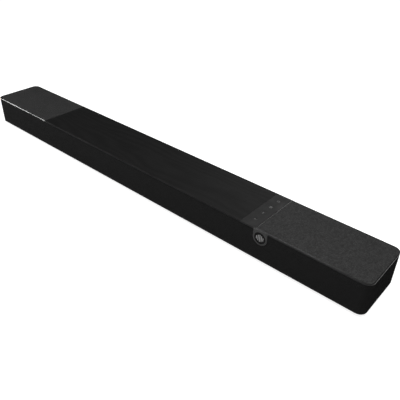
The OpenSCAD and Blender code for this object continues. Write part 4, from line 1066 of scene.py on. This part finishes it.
def buildFoot(facts):
    low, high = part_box("rubber_feet")
    xs = sorted(p.co.x for p in nodes["rubber_feet"].data.vertices if p.co.x > 0)
    ys = sorted(p.co.y for p in nodes["rubber_feet"].data.vertices if p.co.y < 0)
    left, right, front, back = xs[0], xs[-1], ys[0], ys[-1]
    radius = (back - front) / 2
    deselectAll()
    bpy.ops.mesh.primitive_circle_add(
        vertices=40, radius=radius, fill_type="NGON", location=(right - radius, (front + back) / 2, low.z),
    )
    foot = bpy.context.object
    applyPlace(foot)
    # the far half moves out, so that the circle becomes a stadium
    editWith(foot, "VERT", lambda p: p.x < right - radius - hair)
    bpy.ops.transform.translate(value=(left - right + 2 * radius, 0, 0))
    leaveEdit()
    makeActive(foot)
    bpy.ops.object.mode_set(mode="EDIT")
    bpy.ops.mesh.select_all(action="SELECT")
    bpy.ops.mesh.extrude_region_move(TRANSFORM_OT_translate={"value": (0, 0, high.z - low.z)})
    bpy.ops.mesh.select_all(action="SELECT")
    bpy.ops.mesh.normals_make_consistent(inside=False)
    leaveEdit()
    bevelWhere(foot, lambda a, b: a.z < low.z + hair and b.z < low.z + hair, facts["soleRound"], 4)
    pitch = (right - left - 2 * radius) / (facts["grooves"] - 1)
    for i in range(facts["grooves"]):
        x = left + radius + i * pitch
        cutter = addBox(
            "groove", (x - facts["grooveWidth"] / 2, front - 0.01, low.z - 0.01),
            (x + facts["grooveWidth"] / 2, back + 0.01, low.z + facts["grooveDepth"]),
        )
        applyModifier(foot, "BOOLEAN", "groove", operation="DIFFERENCE", object=cutter, solver="EXACT")
        bpy.data.objects.remove(cutter)
    acrossX = -(left + right)
    otherRow = sorted({round(p.co.y, 5) for p in nodes["rubber_feet"].data.vertices})[-1] - back
    spots = [(acrossX, 0), (0, otherRow), (acrossX, otherRow)]
    feet = [foot] + [copyPiece(foot, "foot", (dx, dy, 0)) for dx, dy in spots]
    return joinAll(feet, "ribbed_feet")


feet = buildFoot(footFacts)
finishPiece(feet, "housing", materials["rubber"])
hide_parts("rubber_feet")
print("feet built")

# stage and light
stageFacts = {
    "floorSize": 30.0,
    "floorTone": 0.45,
    "floorGlow": 0.86,
    "mirrorGlow": 0.12,
    "seenTone": 1.0,
    "lowSky": 0.05,
    "highSky": 0.4,
}
lightFacts = {
    "overhead": {"place": (0.5, -0.3, 1.5), "aim": (0.32, 0, 0), "size": (1.2, 1.0), "power": 25.0},
    "backRight": {"place": (-0.5, 1.7, 1.35), "aim": (0.4, 0, 0), "size": (0.7, 0.7), "power": 6.5},
    "frontLow": {"place": (-1.1, -1.3, 0.32), "aim": (-0.5, -0.06, 0.04), "size": (0.5, 0.3), "power": 15.0},
    "leftFront": {
        "place": (-2.08, -0.83, 0.94), "aim": (-0.45, -0.06, 0.08),
        "size": (0.44, 0.18), "power": 9.5, "roll": 0.73,
    },
}


def buildStage(facts):
    deselectAll()
    bpy.ops.mesh.primitive_plane_add(size=facts["floorSize"], location=(0, 0, -0.0002))
    floor = bpy.context.object
    floor.name = "floor"
    material, w, shader = startMaterial("paleFloor")
    tone = w.noise(surfaceVector(w, "object"), 3.0, 3.0)
    w.join(
        w.mixColour(tone, grey(facts["floorTone"] - 0.01), grey(facts["floorTone"] + 0.01)),
        shader.inputs["Base Color"],
    )
    shader.inputs["Roughness"].default_value = 0.9
    shader.inputs["Specular IOR Level"].default_value = 0.0
    shader.inputs["Emission Color"].default_value = (1, 1, 1, 1)
    # darker to mirrored rays, so that upright faces don't mirror a white floor
    mirrored = w.add("ShaderNodeLightPath").outputs["Is Glossy Ray"]
    w.join(
        w.remap(mirrored, 0.0, 1.0, facts["floorGlow"], facts["mirrorGlow"]),
        shader.inputs["Emission Strength"],
    )
    floor.data.materials.append(material)
    world = bpy.data.worlds.new("studio")
    scene.world = world
    world.use_nodes = True
    tree = world.node_tree
    tree.nodes.clear()
    w = Wiring(tree)
    seen, light = w.add("ShaderNodeBackground"), w.add("ShaderNodeBackground")
    seen.inputs["Color"].default_value = light.inputs["Color"].default_value = (1, 1, 1, 1)
    seen.inputs["Strength"].default_value = facts["seenTone"]
    # dim round the horizon and bright above, as under a studio's ceiling panel
    split = w.add("ShaderNodeSeparateXYZ")
    w.join(w.add("ShaderNodeTexCoord").outputs["Generated"], split.inputs[0])
    w.join(w.remap(split.outputs["Z"], 0.45, 1.0, facts["lowSky"], facts["highSky"]), light.inputs["Strength"])
    mix = w.add("ShaderNodeMixShader")
    w.join(w.add("ShaderNodeLightPath").outputs["Is Camera Ray"], mix.inputs[0])
    w.join(light.outputs[0], mix.inputs[1])
    w.join(seen.outputs[0], mix.inputs[2])
    w.join(mix.outputs[0], w.add("ShaderNodeOutputWorld").inputs["Surface"])


def addLight(name, facts):
    data = bpy.data.lights.new(name, "AREA")
    data.shape = "RECTANGLE"
    data.size, data.size_y = facts["size"]
    data.energy = facts["power"]
    lamp = bpy.data.objects.new(name, data)
    lamp.location = facts["place"]
    aim = Vector(facts["aim"]) - Vector(facts["place"])
    turn = aim.to_track_quat("-Z", "Y").to_matrix() @ Matrix.Rotation(facts.get("roll", 0), 3, "Z")
    lamp.rotation_euler = turn.to_euler()
    scene.collection.objects.link(lamp)


buildStage(stageFacts)
for name, facts in lightFacts.items():
    addLight(name, facts)
scene.view_settings.view_transform = "Standard"
scene.view_settings.look = "None"
print("stage and lights set")
